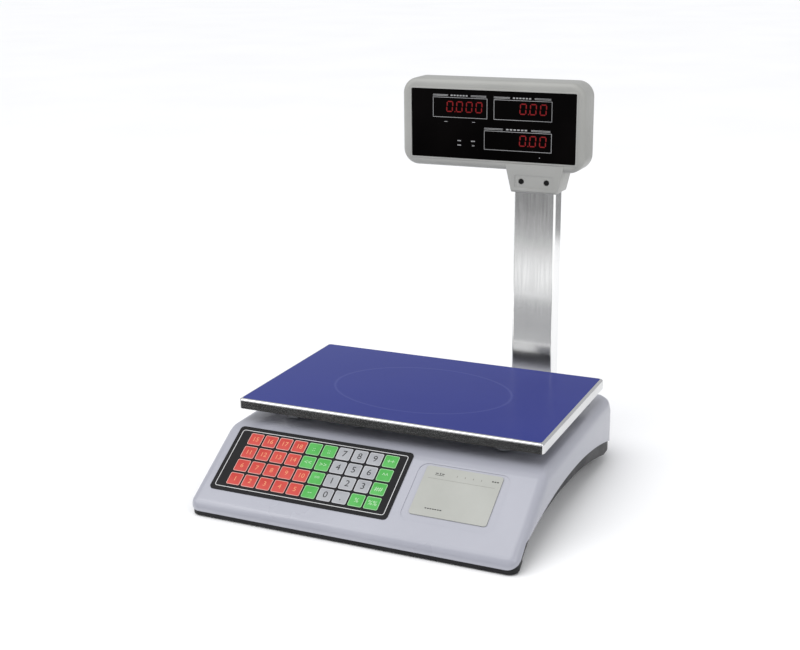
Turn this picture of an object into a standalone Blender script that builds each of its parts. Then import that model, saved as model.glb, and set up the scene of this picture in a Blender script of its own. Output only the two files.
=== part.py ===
"""Price-computing retail scale with a pole display.

Metres, +Z up.  The keypad faces -Y, the display mast stands behind the base at +Y, and the
operator's right hand is +X.  Everything is laid out round the middle of the pan; the last step
moves it all so that the origin is on the table under the middle of the whole scale.
"""
import math

import bmesh
import bpy
from mathutils import Matrix, Vector

# ---------------------------------------------------------------- driving dimensions
GAP = 0.0003                    # air left between touching pieces
WALL = 0.0025                   # plastic wall

# Base, seen from above: a rectangle with rounded corners.
BASE_HALF_W = 0.1795
BASE_FRONT = -0.2005
BASE_REAR = 0.134
FRONT_CORNER = 0.012
REAR_CORNER = 0.030
TRAY_INSET = 0.0015             # the black tray stands this far inside the housing's outline
FLOOR_Z = 0.010                 # underside of the tray's floor
FLOOR_TOP = FLOOR_Z + WALL
LIP_Z, LIP_T = 0.0015, 0.006    # bottom and thickness of the tray's front lip
SEAM_FRONT_Z = 0.0065           # seam between housing and tray along the front
HOUSING_TOP = 0.0715
SIDE_ROUND = 0.014              # rounding along the top edges
NOSE_ROUND = 0.006

# Sloping front that carries the keypad.
SLOPE = math.radians(31.2)
SLOPE_REF_Y, SLOPE_REF_Z = -0.1836, 0.0261

# Hand grips: shallow arches along both sides.
ARCH_MID_Y = -0.035
SEAM_ARCH_TOP, SEAM_ARCH_R = 0.043, 0.5365
GRIP_MID_Y = -0.070
GRIP_TOP, GRIP_LOW, GRIP_R = 0.0345, 0.0125, 0.60
GRIP_WALL_X = 0.150             # face of the upright wall inside each grip

# Weighing pan and the frame under it.
PAN_W, PAN_D, PAN_TOP, PAN_SKIRT, PAN_T = 0.343, 0.212, 0.097, 0.0108, 0.0012
PAN_CORNER = 0.004
FILM_T, FILM_INSET = 0.0003, 0.003
PAD_X, PAD_Y = 0.120, 0.072
POST_Y = 0.045                  # free end of the load cell

# Keypad and rate plate on the slope.
KEYPAD_X, KEYPAD_Y, KEYPAD_W, KEYPAD_H = -0.0627, -0.1483, 0.202, 0.083
KEY_W, KEY_H, KEY_PITCH_X, KEY_PITCH_Y = 0.0153, 0.0148, 0.01745, 0.01735
KEY_FIRST_X, KEY_FIRST_Y = 0.0240, 0.0160
KEY_COLUMNS, KEY_ROWS = 10, 4
LABEL_X, LABEL_Y, LABEL_W, LABEL_H = 0.0972, -0.1477, 0.081, 0.059

# Mast and display head.
MAST_X, MAST_Y, MAST_W, MAST_D, MAST_WALL = 0.0710, 0.1645, 0.050, 0.025, 0.0015
MAST_BOTTOM, MAST_HEAD_TOP = 0.020, 0.322
HEAD_X, HEAD_HALF_W = 0.0189, 0.1092
HEAD_FRONT, HEAD_REAR, HEAD_SPLIT = 0.150, 0.190, 0.170
HEAD_BOTTOM, HEAD_TOP, HEAD_CORNER, HEAD_EDGE = 0.3146, 0.4144, 0.018, 0.006
WINDOW_X, WINDOW_Z, WINDOW_W, WINDOW_H = 0.0202, 0.3640, 0.1967, 0.0777
WINDOW_SET, WINDOW_T = 0.0004, 0.0018       # how far the window sits behind the face, thickness
BOARD_SET = 0.0115                          # middle of each display board behind its face
NECK_BOTTOM, NECK_HALF_TOP, NECK_HALF_BOTTOM = 0.2903, 0.0350, 0.0274
NECK_FRONT, NECK_REAR = 0.149, 0.186
NECK_SCREW_X, NECK_SCREW_Z = 0.0149, 0.3030
SOCKET_TOP, SOCKET_HALF_W = 0.064, 0.0290

FOOT_X, FOOT_FRONT_Y, FOOT_REAR_Y = 0.128, -0.166, 0.112
SCREW_X, SCREW_FRONT_Y, SCREW_REAR_Y = 0.105, -0.152, 0.112
INLET_Y, INLET_Z = -0.040, 0.0215
SWITCH_Y, SWITCH_Z = 0.010, 0.0192
ROCKER_TILT = 9.0               # degrees each side of level
BATTERY_X, BATTERY_Y = -0.078, 0.052
LEVEL_X, LEVEL_Y = 0.110, 0.008
MIDDLE_Y = (BASE_FRONT + HEAD_REAR) / 2     # middle of the whole scale, seen from above

# ---------------------------------------------------------------- scene and materials
for old in list(bpy.data.objects):
    bpy.data.objects.remove(old, do_unlink=True)
scene = bpy.context.scene


def make_material(name, rgb, roughness, metallic=0.0):
    material = bpy.data.materials.new(name)
    material.use_nodes = True
    shader = material.node_tree.nodes["Principled BSDF"]
    shader.inputs["Base Color"].default_value = (*rgb, 1.0)
    shader.inputs["Roughness"].default_value = roughness
    shader.inputs["Metallic"].default_value = metallic
    return material


WHITE = make_material("white_abs", (0.62, 0.63, 0.72), 0.30)
BLACK = make_material("black_abs", (0.020, 0.020, 0.022), 0.45)
GREY = make_material("warm_grey_abs", (0.50, 0.50, 0.47), 0.45)
STAINLESS = make_material("polished_stainless", (0.72, 0.72, 0.72), 0.16, 1.0)
STEEL = make_material("zinc_plated_steel", (0.55, 0.55, 0.56), 0.35, 1.0)
DARK_STEEL = make_material("blackened_steel", (0.03, 0.03, 0.03), 0.45)
ALLOY = make_material("aluminium_alloy", (0.70, 0.71, 0.73), 0.40, 1.0)
CAST = make_material("cast_aluminium", (0.45, 0.46, 0.48), 0.55, 1.0)
RUBBER = make_material("black_rubber", (0.015, 0.015, 0.015), 0.85)
FILM = make_material("blue_film", (0.035, 0.060, 0.32), 0.30)
OVERLAY = make_material("keypad_print", (0.03, 0.03, 0.03), 0.40)
LABEL = make_material("cream_label", (0.55, 0.56, 0.50), 0.55)
WINDOW = make_material("smoked_window", (0.010, 0.008, 0.008), 0.12)
BOARD = make_material("green_board", (0.02, 0.15, 0.06), 0.50)
LED = make_material("led_module", (0.05, 0.03, 0.03), 0.40)
BATTERY_CASE = make_material("battery_case", (0.05, 0.06, 0.08), 0.50)
GLASS = make_material("level_glass", (0.45, 0.65, 0.20), 0.10)


# ---------------------------------------------------------------- building helpers
def new_object(name, bm, material, cutter=False):
    """Put a bmesh into the scene as one object; cutters are hidden."""
    bmesh.ops.recalc_face_normals(bm, faces=bm.faces)
    mesh = bpy.data.meshes.new(name)
    bm.to_mesh(mesh)
    bm.free()
    obj = bpy.data.objects.new(name, mesh)
    scene.collection.objects.link(obj)
    if cutter:
        obj.hide_render = True
        obj.display_type = "WIRE"
    else:
        mesh.materials.append(material)
        mesh.shade_smooth()
        mesh.set_sharp_from_angle(angle=math.radians(35))
    return obj


def box_mesh(size, centre):
    bm = bmesh.new()
    bmesh.ops.create_cube(bm, size=1.0)
    bmesh.ops.scale(bm, vec=Vector(size), verts=bm.verts)
    bmesh.ops.translate(bm, vec=Vector(centre), verts=bm.verts)
    return bm


def box(name, size, centre, material=None, cutter=False):
    return new_object(name, box_mesh(size, centre), material, cutter)


def cylinder(name, radius, base, length, axis="Z", sides=24):
    """A cutting or joining cylinder from its base point, along +axis."""
    bm = bmesh.new()
    bmesh.ops.create_cone(bm, cap_ends=True, segments=sides, radius1=radius, radius2=radius, depth=length,
                          matrix=Matrix.Translation((0, 0, length / 2)))
    if axis == "Y":
        bmesh.ops.rotate(bm, verts=bm.verts, matrix=Matrix.Rotation(math.radians(-90), 3, "X"))
    elif axis == "X":
        bmesh.ops.rotate(bm, verts=bm.verts, matrix=Matrix.Rotation(math.radians(90), 3, "Y"))
    bmesh.ops.translate(bm, vec=Vector(base), verts=bm.verts)
    return new_object(name, bm, None, cutter=True)


def turned(name, profile, centre, material, sides=24, axis="Z"):
    """A solid of revolution from (radius, height) pairs that start and end on the axis."""
    bm = bmesh.new()
    rings = []
    for radius, height in profile:
        if radius == 0:
            rings.append([bm.verts.new((0, 0, height))])
        else:
            rings.append([bm.verts.new((radius * math.cos(math.tau * k / sides),
                                        radius * math.sin(math.tau * k / sides), height))
                          for k in range(sides)])
    for low, high in zip(rings, rings[1:]):
        for k in range(sides):
            corner = [low[k % len(low)], low[(k + 1) % len(low)],
                      high[(k + 1) % len(high)], high[k % len(high)]]
            bm.faces.new(list(dict.fromkeys(corner)))
    if axis == "Y":
        bmesh.ops.rotate(bm, verts=bm.verts, matrix=Matrix.Rotation(math.radians(-90), 3, "X"))
    bmesh.ops.translate(bm, vec=Vector(centre), verts=bm.verts)
    return new_object(name, bm, material)


def prism(name, outline, low, high, axis="Z", material=None, cutter=False):
    """Extrude a closed outline.  Z takes (x, y) pairs, X takes (y, z), Y takes (x, z)."""
    place = {"Z": lambda a, b, c: (a, b, c), "X": lambda a, b, c: (c, a, b),
             "Y": lambda a, b, c: (a, c, b)}[axis]
    bm = bmesh.new()
    first = [bm.verts.new(place(a, b, low)) for a, b in outline]
    last = [bm.verts.new(place(a, b, high)) for a, b in outline]
    bm.faces.new(first)
    bm.faces.new(last)
    for k in range(len(outline)):
        n = (k + 1) % len(outline)
        bm.faces.new((first[k], first[n], last[n], last[k]))
    return new_object(name, bm, material, cutter)


def hull(name, points, material=None, cutter=False):
    """The convex solid round a cloud of points."""
    bm = bmesh.new()
    for point in points:
        bm.verts.new(point)
    result = bmesh.ops.convex_hull(bm, input=bm.verts)
    loose = {v for v in result["geom_interior"] + result["geom_unused"]
             if isinstance(v, bmesh.types.BMVert) and v.is_valid}
    bmesh.ops.delete(bm, geom=list(loose), context="VERTS")
    bmesh.ops.delete(bm, geom=[v for v in bm.verts if not v.link_faces], context="VERTS")
    bmesh.ops.dissolve_limit(bm, angle_limit=math.radians(0.2), verts=bm.verts, edges=bm.edges)
    return new_object(name, bm, material, cutter)


def cut(obj, *cutters):
    for cutter in cutters:
        modifier = obj.modifiers.new("cut", "BOOLEAN")
        modifier.operation = "DIFFERENCE"
        modifier.solver = "EXACT"
        modifier.object = cutter
    return obj


def join(obj, *others):
    """Add hidden solids to an object."""
    for other in others:
        modifier = obj.modifiers.new("join", "BOOLEAN")
        modifier.operation = "UNION"
        modifier.solver = "EXACT"
        modifier.object = other
    return obj


def rounded_rectangle(half_w, low, high, corner_low, corner_high=None, steps=5, middle=0.0):
    """Outline of a rectangle with quarter-circle corners, corner_low at the low end."""
    corner_high = corner_low if corner_high is None else corner_high
    outline = []
    for cx, cy, radius, start in ((half_w - corner_low, low + corner_low, corner_low, -90),
                                  (half_w - corner_high, high - corner_high, corner_high, 0),
                                  (-half_w + corner_high, high - corner_high, corner_high, 90),
                                  (-half_w + corner_low, low + corner_low, corner_low, 180)):
        for k in range(steps + 1):
            angle = math.radians(start + 90 * k / steps)
            outline.append((middle + cx + radius * math.cos(angle), cy + radius * math.sin(angle)))
    return outline


def at_level(outline, level, axis="Z"):
    if axis == "Y":
        return [(a, level, b) for a, b in outline]
    return [(a, b, level) for a, b in outline]


# ---------------------------------------------------------------- shapes shared by the base
def slope_z(y):
    """Height of the sloping front at a given y."""
    return SLOPE_REF_Z + (y - SLOPE_REF_Y) * math.tan(SLOPE)


def base_outline(inset, steps=5):
    return rounded_rectangle(BASE_HALF_W - inset, BASE_FRONT + inset, BASE_REAR - inset,
                             FRONT_CORNER - inset, REAR_CORNER - inset, steps)


def rounded_corner(x, y, z, plan_radius, edge_radius, start):
    """Points on the rounded top corner of the housing."""
    points = []
    for k in range(5):
        turn = math.radians(start + 90 * k / 4)
        for m in range(5):
            tip = math.radians(90 * m / 4)
            reach = plan_radius - edge_radius + edge_radius * math.cos(tip)
            points.append((x + reach * math.cos(turn), y + reach * math.sin(turn),
                           z - edge_radius + edge_radius * math.sin(tip)))
    return points


def housing_points(inset, bottom):
    """Cloud of points whose convex hull is the housing, drawn in by a wall thickness."""
    half = BASE_HALF_W - inset
    front, rear = BASE_FRONT + inset, BASE_REAR - inset
    top = HOUSING_TOP - inset
    lean = 0.0015
    drop = inset / math.cos(SLOPE)
    ridge_y = SLOPE_REF_Y + (top + drop - SLOPE_REF_Z) / math.tan(SLOPE)
    nose_z = slope_z(front) - drop
    points = at_level(base_outline(inset), bottom)
    points += at_level(base_outline(inset), min(0.020, nose_z))[6:18]
    side = max(SIDE_ROUND - inset, 0.004)
    rear_plan = REAR_CORNER - inset - lean
    for sign, start in ((1, 0), (-1, 90)):
        points += rounded_corner(sign * (half - lean - rear_plan), rear - lean - rear_plan, top,
                                 rear_plan, side, start)
    for sign, start in ((1, -90), (-1, 180)):
        # Nose: a tight rounding that follows the front corner.
        nose = max(NOSE_ROUND - inset, 0.002)
        plan = FRONT_CORNER - inset
        corner = rounded_corner(sign * (half - plan), front + plan, nose_z + 0.6 * nose, plan, nose, start)
        points += [p for p in corner if p[2] <= slope_z(p[1]) - drop + 1e-6]
        # Ridge where the slope meets the flat top: the side rounding cut by both planes.
        for m in range(5):
            tip = math.radians(90 * m / 4)
            x = half - lean - side + side * math.cos(tip)
            z = top - side + side * math.sin(tip)
            points.append((sign * x, SLOPE_REF_Y + (z + drop - SLOPE_REF_Z) / math.tan(SLOPE), z))
            low_z = nose_z - 0.002 + side * 0.75 * math.sin(tip)
            low_y = max(SLOPE_REF_Y + (low_z + drop - SLOPE_REF_Z) / math.tan(SLOPE), front + 0.006)
            points.append((sign * (half - side * 0.75 + side * 0.75 * math.cos(tip)), low_y,
                           min(low_z, slope_z(low_y) - drop)))
    points += [(0, ridge_y, top)]
    return points


def seam_z(y):
    """Height of the seam between housing and tray."""
    arch = SEAM_ARCH_TOP - (y - ARCH_MID_Y) ** 2 / (2 * SEAM_ARCH_R)
    rise = min(max((y - BASE_FRONT) / 0.020, 0.0), 1.0)
    return SEAM_FRONT_Z + (arch - SEAM_FRONT_Z) * rise ** 1.5


def grip_z(y):
    """Height of the ceiling of the hand grips: an arch that stays just under the seam."""
    arch = max(GRIP_TOP - (y - GRIP_MID_Y) ** 2 / (2 * GRIP_R), GRIP_LOW)
    return min(arch, seam_z(y) - 0.003)


def curve(height, low, high, steps=24, lift=0.0):
    return [(low + (high - low) * k / steps, height(low + (high - low) * k / steps) + lift)
            for k in range(steps + 1)]


# ---------------------------------------------------------------- housing
seam_cutter = prism("cut_seam", curve(seam_z, BASE_FRONT - 0.001, BASE_REAR + 0.001, 26)
                    + [(BASE_REAR + 0.001, -0.01), (BASE_FRONT - 0.001, -0.01)],
                    -0.2, 0.2, "X", cutter=True)
screw_places = [(sx * SCREW_X, y) for y in (SCREW_FRONT_Y, SCREW_REAR_Y) for sx in (-1, 1)]
hollow = hull("cut_housing_inside", housing_points(WALL, 0.0), cutter=True)
for k, (x, y) in enumerate(screw_places):
    cut(hollow, cylinder(f"cut_boss_{k}", 0.0050, (x, y, FLOOR_TOP + GAP), 0.08, sides=16))
housing = hull("upper_housing", housing_points(0.0, SEAM_FRONT_Z), WHITE)
cut(housing, hollow, seam_cutter,
    box("cut_post_hole", (0.046, 0.046, 0.03), (0, POST_Y, HOUSING_TOP), cutter=True),
    cylinder("cut_level_hole", 0.0093, (LEVEL_X, LEVEL_Y, HOUSING_TOP - 0.02), 0.03),
    box("cut_housing_socket", (0.012, 0.02, 0.012), (MAST_X, BASE_REAR, 0.052), cutter=True))
for k, (x, y) in enumerate(screw_places):
    cut(housing, cylinder(f"cut_boss_bore_{k}", 0.0016, (x, y, FLOOR_TOP - 0.002), 0.018,
                          sides=12))
for k, side in enumerate((-1, 1)):
    cut(housing, cylinder(f"cut_housing_screw_{k}", 0.0021, (MAST_X + side * 0.0140, BASE_REAR - 0.01, 0.042),
                          0.02, axis="Y", sides=12))

# ---------------------------------------------------------------- lower tray
tray = prism("lower_tray", base_outline(TRAY_INSET), LIP_Z, 0.050, material=BLACK)
above_seam = prism("cut_above_seam", curve(seam_z, BASE_FRONT - 0.001, BASE_REAR + 0.001, 26, -GAP)
                   + [(BASE_REAR + 0.001, 0.06), (BASE_FRONT - 0.001, 0.06)], -0.2, 0.2, "X", cutter=True)
cut(above_seam, prism("keep_floor", base_outline(TRAY_INSET + WALL + GAP), -0.02, 0.08, cutter=True))
tray_inside = prism("cut_tray_inside", base_outline(TRAY_INSET + WALL), FLOOR_TOP, 0.06, cutter=True)
for k, (low, high) in enumerate(((-0.2, -GRIP_WALL_X + WALL), (GRIP_WALL_X - WALL, 0.2))):
    cut(tray_inside, prism(f"keep_grip_{k}", curve(grip_z, BASE_FRONT - 0.01, BASE_REAR + 0.01, 18, WALL)
                           + [(BASE_REAR + 0.01, -0.01), (BASE_FRONT - 0.01, -0.01)], low, high, "X",
                           cutter=True))
# Behind the lip the underside rises to the floor, with a short ramp up from the lip.
lip_rear = BASE_FRONT + TRAY_INSET + LIP_T
underside = prism("cut_underside", [(lip_rear, -0.02), (BASE_REAR + 0.1, -0.02), (BASE_REAR + 0.1, FLOOR_Z),
                                    (lip_rear + 0.012, FLOOR_Z), (lip_rear, LIP_Z)], -0.2, 0.2, "X",
                  cutter=True)
grip_start = BASE_FRONT + 0.018
grips = [prism(f"cut_grip_{k}", curve(grip_z, grip_start, BASE_REAR + 0.01)
               + [(BASE_REAR + 0.01, -0.01), (grip_start, -0.01)], low, high, "X", cutter=True)
         for k, (low, high) in enumerate(((-0.2, -GRIP_WALL_X), (GRIP_WALL_X, 0.2)))]
cut(tray, tray_inside, above_seam, underside, *grips)

foot_places = [(sx * FOOT_X, y) for y in (FOOT_FRONT_Y, FOOT_REAR_Y) for sx in (-1, 1)]
for k, (x, y) in enumerate(foot_places):
    join(tray, cylinder(f"add_foot_boss_{k}", 0.0070, (x, y, FLOOR_Z + 0.0005), 0.0115, sides=16))
    cut(tray, cylinder(f"cut_foot_bore_{k}", 0.0033, (x, y, 0.0), 0.040, sides=16))
for k, (x, y) in enumerate(screw_places):
    cut(tray, cylinder(f"cut_case_screw_{k}", 0.0019, (x, y, 0.0), 0.03, sides=12))
for k, y in enumerate((-0.050, -0.034)):
    cut(tray, cylinder(f"cut_cell_bolt_{k}", 0.0032, (0, y, 0.0), 0.03, sides=12))
for k, side in enumerate((-1, 1)):
    cut(tray, cylinder(f"cut_cover_screw_{k}", 0.0017, (BATTERY_X + side * 0.058, BATTERY_Y, 0.0), 0.02,
                       sides=12))
cut(tray,
    box("cut_battery_door", (0.104, 0.074, 0.02), (BATTERY_X, BATTERY_Y, FLOOR_TOP), cutter=True),
    box("cut_inlet", (0.02, 0.0252, 0.0182), (GRIP_WALL_X, INLET_Y, INLET_Z), cutter=True),
    box("cut_switch", (0.02, 0.0192, 0.0132), (GRIP_WALL_X, SWITCH_Y, SWITCH_Z), cutter=True))

# ---------------------------------------------------------------- levelling feet
for k, (x, y) in enumerate(foot_places, 1):
    turned(f"foot_pad_{k}", [(0, 0), (0.0118, 0), (0.0130, 0.0012), (0.0130, 0.0055), (0.0105, 0.0080),
                             (0.0033, 0.0080), (0.0033, 0.0030), (0, 0.0030)], (x, y, 0), RUBBER)
    turned(f"foot_stud_{k}", [(0, 0.0033), (0.0030, 0.0033), (0.0030, 0.0083), (0.0085, 0.0083),
                              (0.0085, 0.0097), (0.0030, 0.0097), (0.0030, 0.0290), (0, 0.0290)],
           (x, y, 0), STEEL, sides=16)

# ---------------------------------------------------------------- fasteners of the base
for k, (x, y) in enumerate(screw_places, 1):
    turned(f"case_screw_{k}", [(0, 0.0076), (0.0034, 0.0076), (0.0034, FLOOR_Z - GAP),
                               (0.0013, FLOOR_Z - GAP), (0.0013, 0.0250), (0, 0.0250)],
           (x, y, 0), STEEL, sides=12)

# ---------------------------------------------------------------- battery and its door
cover = box("battery_door", (0.128, 0.080, 0.0022), (BATTERY_X, BATTERY_Y, FLOOR_Z - GAP - 0.0011), BLACK)
for k, side in enumerate((-1, 1), 1):
    x = BATTERY_X + side * 0.058
    cut(cover, cylinder(f"cut_door_{k}", 0.0019, (x, BATTERY_Y, 0.0), 0.02, sides=12))
    turned(f"battery_door_screw_{k}", [(0, 0.0055), (0.0032, 0.0055), (0.0032, 0.0072), (0.0014, 0.0072),
                                       (0.0014, 0.0170), (0, 0.0170)], (x, BATTERY_Y, 0), STEEL, sides=12)
box("battery", (0.101, 0.070, 0.047), (BATTERY_X, BATTERY_Y, FLOOR_TOP + GAP + 0.0235), BATTERY_CASE)
strap = box("battery_strap", (0.016, 0.094, 0.0490), (BATTERY_X, BATTERY_Y, FLOOR_TOP + GAP + 0.0245), STEEL)
cut(strap, box("cut_strap_inside", (0.02, 0.0706, 0.0476), (BATTERY_X, BATTERY_Y, FLOOR_TOP + 0.0238),
               cutter=True))
for k, side in enumerate((-1, 1)):
    cut(strap, box(f"cut_strap_ear_{k}", (0.02, 0.0116, 0.05),
                   (BATTERY_X, BATTERY_Y + side * 0.0430, FLOOR_TOP + 0.0265), cutter=True))

# ---------------------------------------------------------------- electronics in the base
transformer = box("transformer", (0.020, 0.057, 0.048), (0.105, 0.045, FLOOR_TOP + GAP + 0.024), STEEL)
join(transformer, box("add_coil", (0.036, 0.038, 0.0286), (0.105, 0.045, FLOOR_TOP + GAP + 0.024),
                      cutter=True))
box("main_board", (0.110, 0.080, 0.0016), (0.075, -0.065, 0.034), BOARD)
for k, (x, y) in enumerate(((0.026, -0.099), (0.124, -0.099), (0.026, -0.031), (0.124, -0.031))):
    join(tray, cylinder(f"add_board_post_{k}", 0.0030, (x, y, FLOOR_Z + 0.0005), 0.0224, sides=12))

# ---------------------------------------------------------------- load cell and pan frame
cell_z = 0.0181
cell_base = box("load_cell_base", (0.030, 0.034, 0.0050), (0, -0.042, FLOOR_TOP + GAP + 0.0025), STEEL)
cell = box("load_cell", (0.030, 0.130, 0.022), (0, 0, cell_z + 0.011), ALLOY)
waist = [cylinder(f"cut_waist_{k}", 0.0075, (-0.02, y, cell_z + 0.011), 0.04, axis="X", sides=20)
         for k, y in enumerate((-0.012, 0.012))]
cut(cell, *waist, box("cut_waist_slot", (0.04, 0.024, 0.006), (0, 0, cell_z + 0.011), cutter=True))
post = box("load_post", (0.034, 0.034, 0.0328), (0, POST_Y, cell_z + 0.0226 + 0.0164), CAST)
frame = prism("load_frame", rounded_rectangle(0.024, -0.060, 0.066, 0.006, steps=3), 0.0738, 0.0798,
              material=CAST)
for k, (sx, sy) in enumerate(((-1, -1), (1, -1), (-1, 1), (1, 1)), 1):
    length = math.hypot(PAD_X, PAD_Y)
    turn = math.atan2(sy * PAD_Y, sx * PAD_X)
    arm = box(f"add_arm_{k}", (length, 0.018, 0.0056), (length / 2, 0, 0.0768), cutter=True)
    arm.rotation_euler = (0, 0, turn)
    tip = cylinder(f"add_tip_{k}", 0.0110, (sx * PAD_X, sy * PAD_Y, 0.0739), 0.0141, sides=20)
    join(frame, arm, tip)
    turned(f"pan_cushion_{k}", [(0, 0.0883), (0.0095, 0.0883), (0.0095, 0.0935), (0.0080, 0.0955),
                                (0, 0.0955)], (sx * PAD_X, sy * PAD_Y, 0), RUBBER, sides=20)
for k, y in enumerate((-0.050, -0.034), 1):
    bore = cylinder(f"cut_base_bolt_{k}", 0.0032, (0, y, 0.0), 0.032, sides=12)
    cut(cell_base, bore)
    cut(cell, bore)
    turned(f"cell_bolt_{k}", [(0, 0.0052), (0.0050, 0.0052), (0.0050, FLOOR_Z - GAP), (0.0029, FLOOR_Z - GAP),
                              (0.0029, 0.0310), (0, 0.0310)], (0, y, 0), STEEL, sides=12)
for k, y in enumerate((0.037, 0.053), 1):
    bore = cylinder(f"cut_post_bolt_{k}", 0.0032, (0, y, 0.0285), 0.060, sides=12)
    cut(cell, bore)
    cut(post, bore)
    cut(frame, bore)
    turned(f"post_bolt_{k}", [(0, 0.0295), (0.0029, 0.0295), (0.0029, 0.0801), (0.0052, 0.0801),
                              (0.0052, 0.0846), (0, 0.0846)], (0, y, 0), STEEL, sides=12)

pan = prism("weighing_pan", rounded_rectangle(PAN_W / 2, -PAN_D / 2, PAN_D / 2, PAN_CORNER, steps=3),
            PAN_TOP - PAN_SKIRT, PAN_TOP, material=STAINLESS)
cut(pan, prism("cut_pan_inside", rounded_rectangle(PAN_W / 2 - PAN_T, -PAN_D / 2 + PAN_T, PAN_D / 2 - PAN_T,
                                                   PAN_CORNER - PAN_T, steps=3),
               PAN_TOP - PAN_SKIRT - 0.01, PAN_TOP - PAN_T, cutter=True))
prism("pan_film", rounded_rectangle(PAN_W / 2 - FILM_INSET, -PAN_D / 2 + FILM_INSET, PAN_D / 2 - FILM_INSET,
                                    0.003, steps=2),
      PAN_TOP + 0.0001, PAN_TOP + 0.0001 + FILM_T, material=FILM)

# ---------------------------------------------------------------- bubble level
turned("level_body", [(0, 0.0630), (0.0090, 0.0630), (0.0090, HOUSING_TOP + GAP), (0.0110, HOUSING_TOP + GAP),
                      (0.0110, HOUSING_TOP + 0.0020), (0.0075, HOUSING_TOP + 0.0020), (0.0075, 0.0660),
                      (0, 0.0660)], (LEVEL_X, LEVEL_Y, 0), BLACK, sides=20)
turned("level_vial", [(0, 0.0663), (0.0072, 0.0663), (0.0072, HOUSING_TOP + 0.0012),
                      (0.0045, HOUSING_TOP + 0.0026), (0, HOUSING_TOP + 0.0031)],
       (LEVEL_X, LEVEL_Y, 0), GLASS, sides=20)


# ---------------------------------------------------------------- keypad and rate plate
def place_on_slope(obj, x, y, lift):
    normal = Vector((0, -math.sin(SLOPE), math.cos(SLOPE)))
    obj.location = Vector((x, y, slope_z(y))) + normal * lift
    obj.rotation_euler = (SLOPE, 0, 0)


def keypad():
    """One printed sheet with forty embossed keys."""
    lines_x = [-KEYPAD_W / 2]
    for k in range(KEY_COLUMNS):
        middle = -KEYPAD_W / 2 + KEY_FIRST_X + KEY_PITCH_X * k
        lines_x += [middle - KEY_W / 2, middle + KEY_W / 2]
    lines_y = [-KEYPAD_H / 2]
    for k in range(KEY_ROWS):
        middle = -KEYPAD_H / 2 + KEY_FIRST_Y + KEY_PITCH_Y * k
        lines_y += [middle - KEY_H / 2, middle + KEY_H / 2]
    lines_x.append(KEYPAD_W / 2)
    lines_y.append(KEYPAD_H / 2)
    bm = bmesh.new()
    grid = [[bm.verts.new((x, y, 0.0)) for x in lines_x] for y in lines_y]
    keys = []
    for row in range(len(lines_y) - 1):
        for column in range(len(lines_x) - 1):
            face = bm.faces.new((grid[row][column], grid[row][column + 1],
                                 grid[row + 1][column + 1], grid[row + 1][column]))
            if row % 2 and column % 2:
                keys.append(face)
    solid = bmesh.ops.extrude_face_region(bm, geom=list(bm.faces), use_keep_orig=True)
    raised = [g for g in solid["geom"] if isinstance(g, bmesh.types.BMVert)]
    bmesh.ops.translate(bm, vec=(0, 0, 0.0006), verts=raised)
    bm.normal_update()

    def place_of(face):
        middle = face.calc_center_median()
        return round(middle.x, 5), round(middle.y, 5)

    centres = {place_of(face) for face in keys}
    tops = [f for f in bm.faces if f.calc_center_median().z > 0.0005 and place_of(f) in centres]
    lifted = bmesh.ops.extrude_discrete_faces(bm, faces=tops)["faces"]
    for face in lifted:
        bmesh.ops.translate(bm, vec=(0, 0, 0.0003), verts=face.verts)
    bmesh.ops.dissolve_limit(bm, angle_limit=math.radians(1), verts=bm.verts, edges=bm.edges)
    return new_object("keypad_overlay", bm, OVERLAY)


place_on_slope(keypad(), KEYPAD_X, KEYPAD_Y, 0.0001)
label = prism("rate_plate", rounded_rectangle(LABEL_W / 2, -LABEL_H / 2, LABEL_H / 2, 0.003, steps=3),
              0, 0.0006, material=LABEL)
place_on_slope(label, LABEL_X, LABEL_Y, 0.0001)

# ---------------------------------------------------------------- power inlet and switch
side_x = GRIP_WALL_X
inlet = box("power_inlet", (0.0080, 0.0320, 0.0216), (side_x + GAP + 0.0040, INLET_Y, INLET_Z), BLACK)
join(inlet, box("add_inlet_back", (0.0200, 0.0246, 0.0176), (side_x - 0.0080, INLET_Y, INLET_Z), cutter=True))
cut(inlet, box("cut_inlet_hollow", (0.0170, 0.0210, 0.0140), (side_x + 0.0010, INLET_Y, INLET_Z),
               cutter=True))
for k, (dy, dz) in enumerate(((-0.0065, -0.0015), (0.0, 0.0020), (0.0065, -0.0015))):
    join(inlet, box(f"add_pin_{k}", (0.0110, 0.0020, 0.0040), (side_x - 0.0035, INLET_Y + dy, INLET_Z + dz),
                    cutter=True))
switch = box("switch_frame", (0.0030, 0.0230, 0.0154), (side_x + GAP + 0.0015, SWITCH_Y, SWITCH_Z), BLACK)
join(switch, box("add_switch_back", (0.0150, 0.0186, 0.0126), (side_x - 0.0068, SWITCH_Y, SWITCH_Z),
                 cutter=True))
cut(switch, box("cut_switch_hollow", (0.0120, 0.0160, 0.0100), (side_x - 0.0010, SWITCH_Y, SWITCH_Z),
                cutter=True))
rocker = prism("switch_rocker", [(-0.0070, -0.0030), (0.0070, -0.0030), (0.0070, 0.0042), (0.0, 0.0030),
                                 (-0.0070, 0.0042)], -0.0047, 0.0047, "Y", material=BLACK)
rocker.location = (side_x, SWITCH_Y, SWITCH_Z)
rocker.rotation_euler = Matrix(((0, 0, 1), (1, 0, 0), (0, 1, 0))).to_euler()
rocker.rotation_euler.rotate_axis("Y", math.radians(-ROCKER_TILT))

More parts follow.
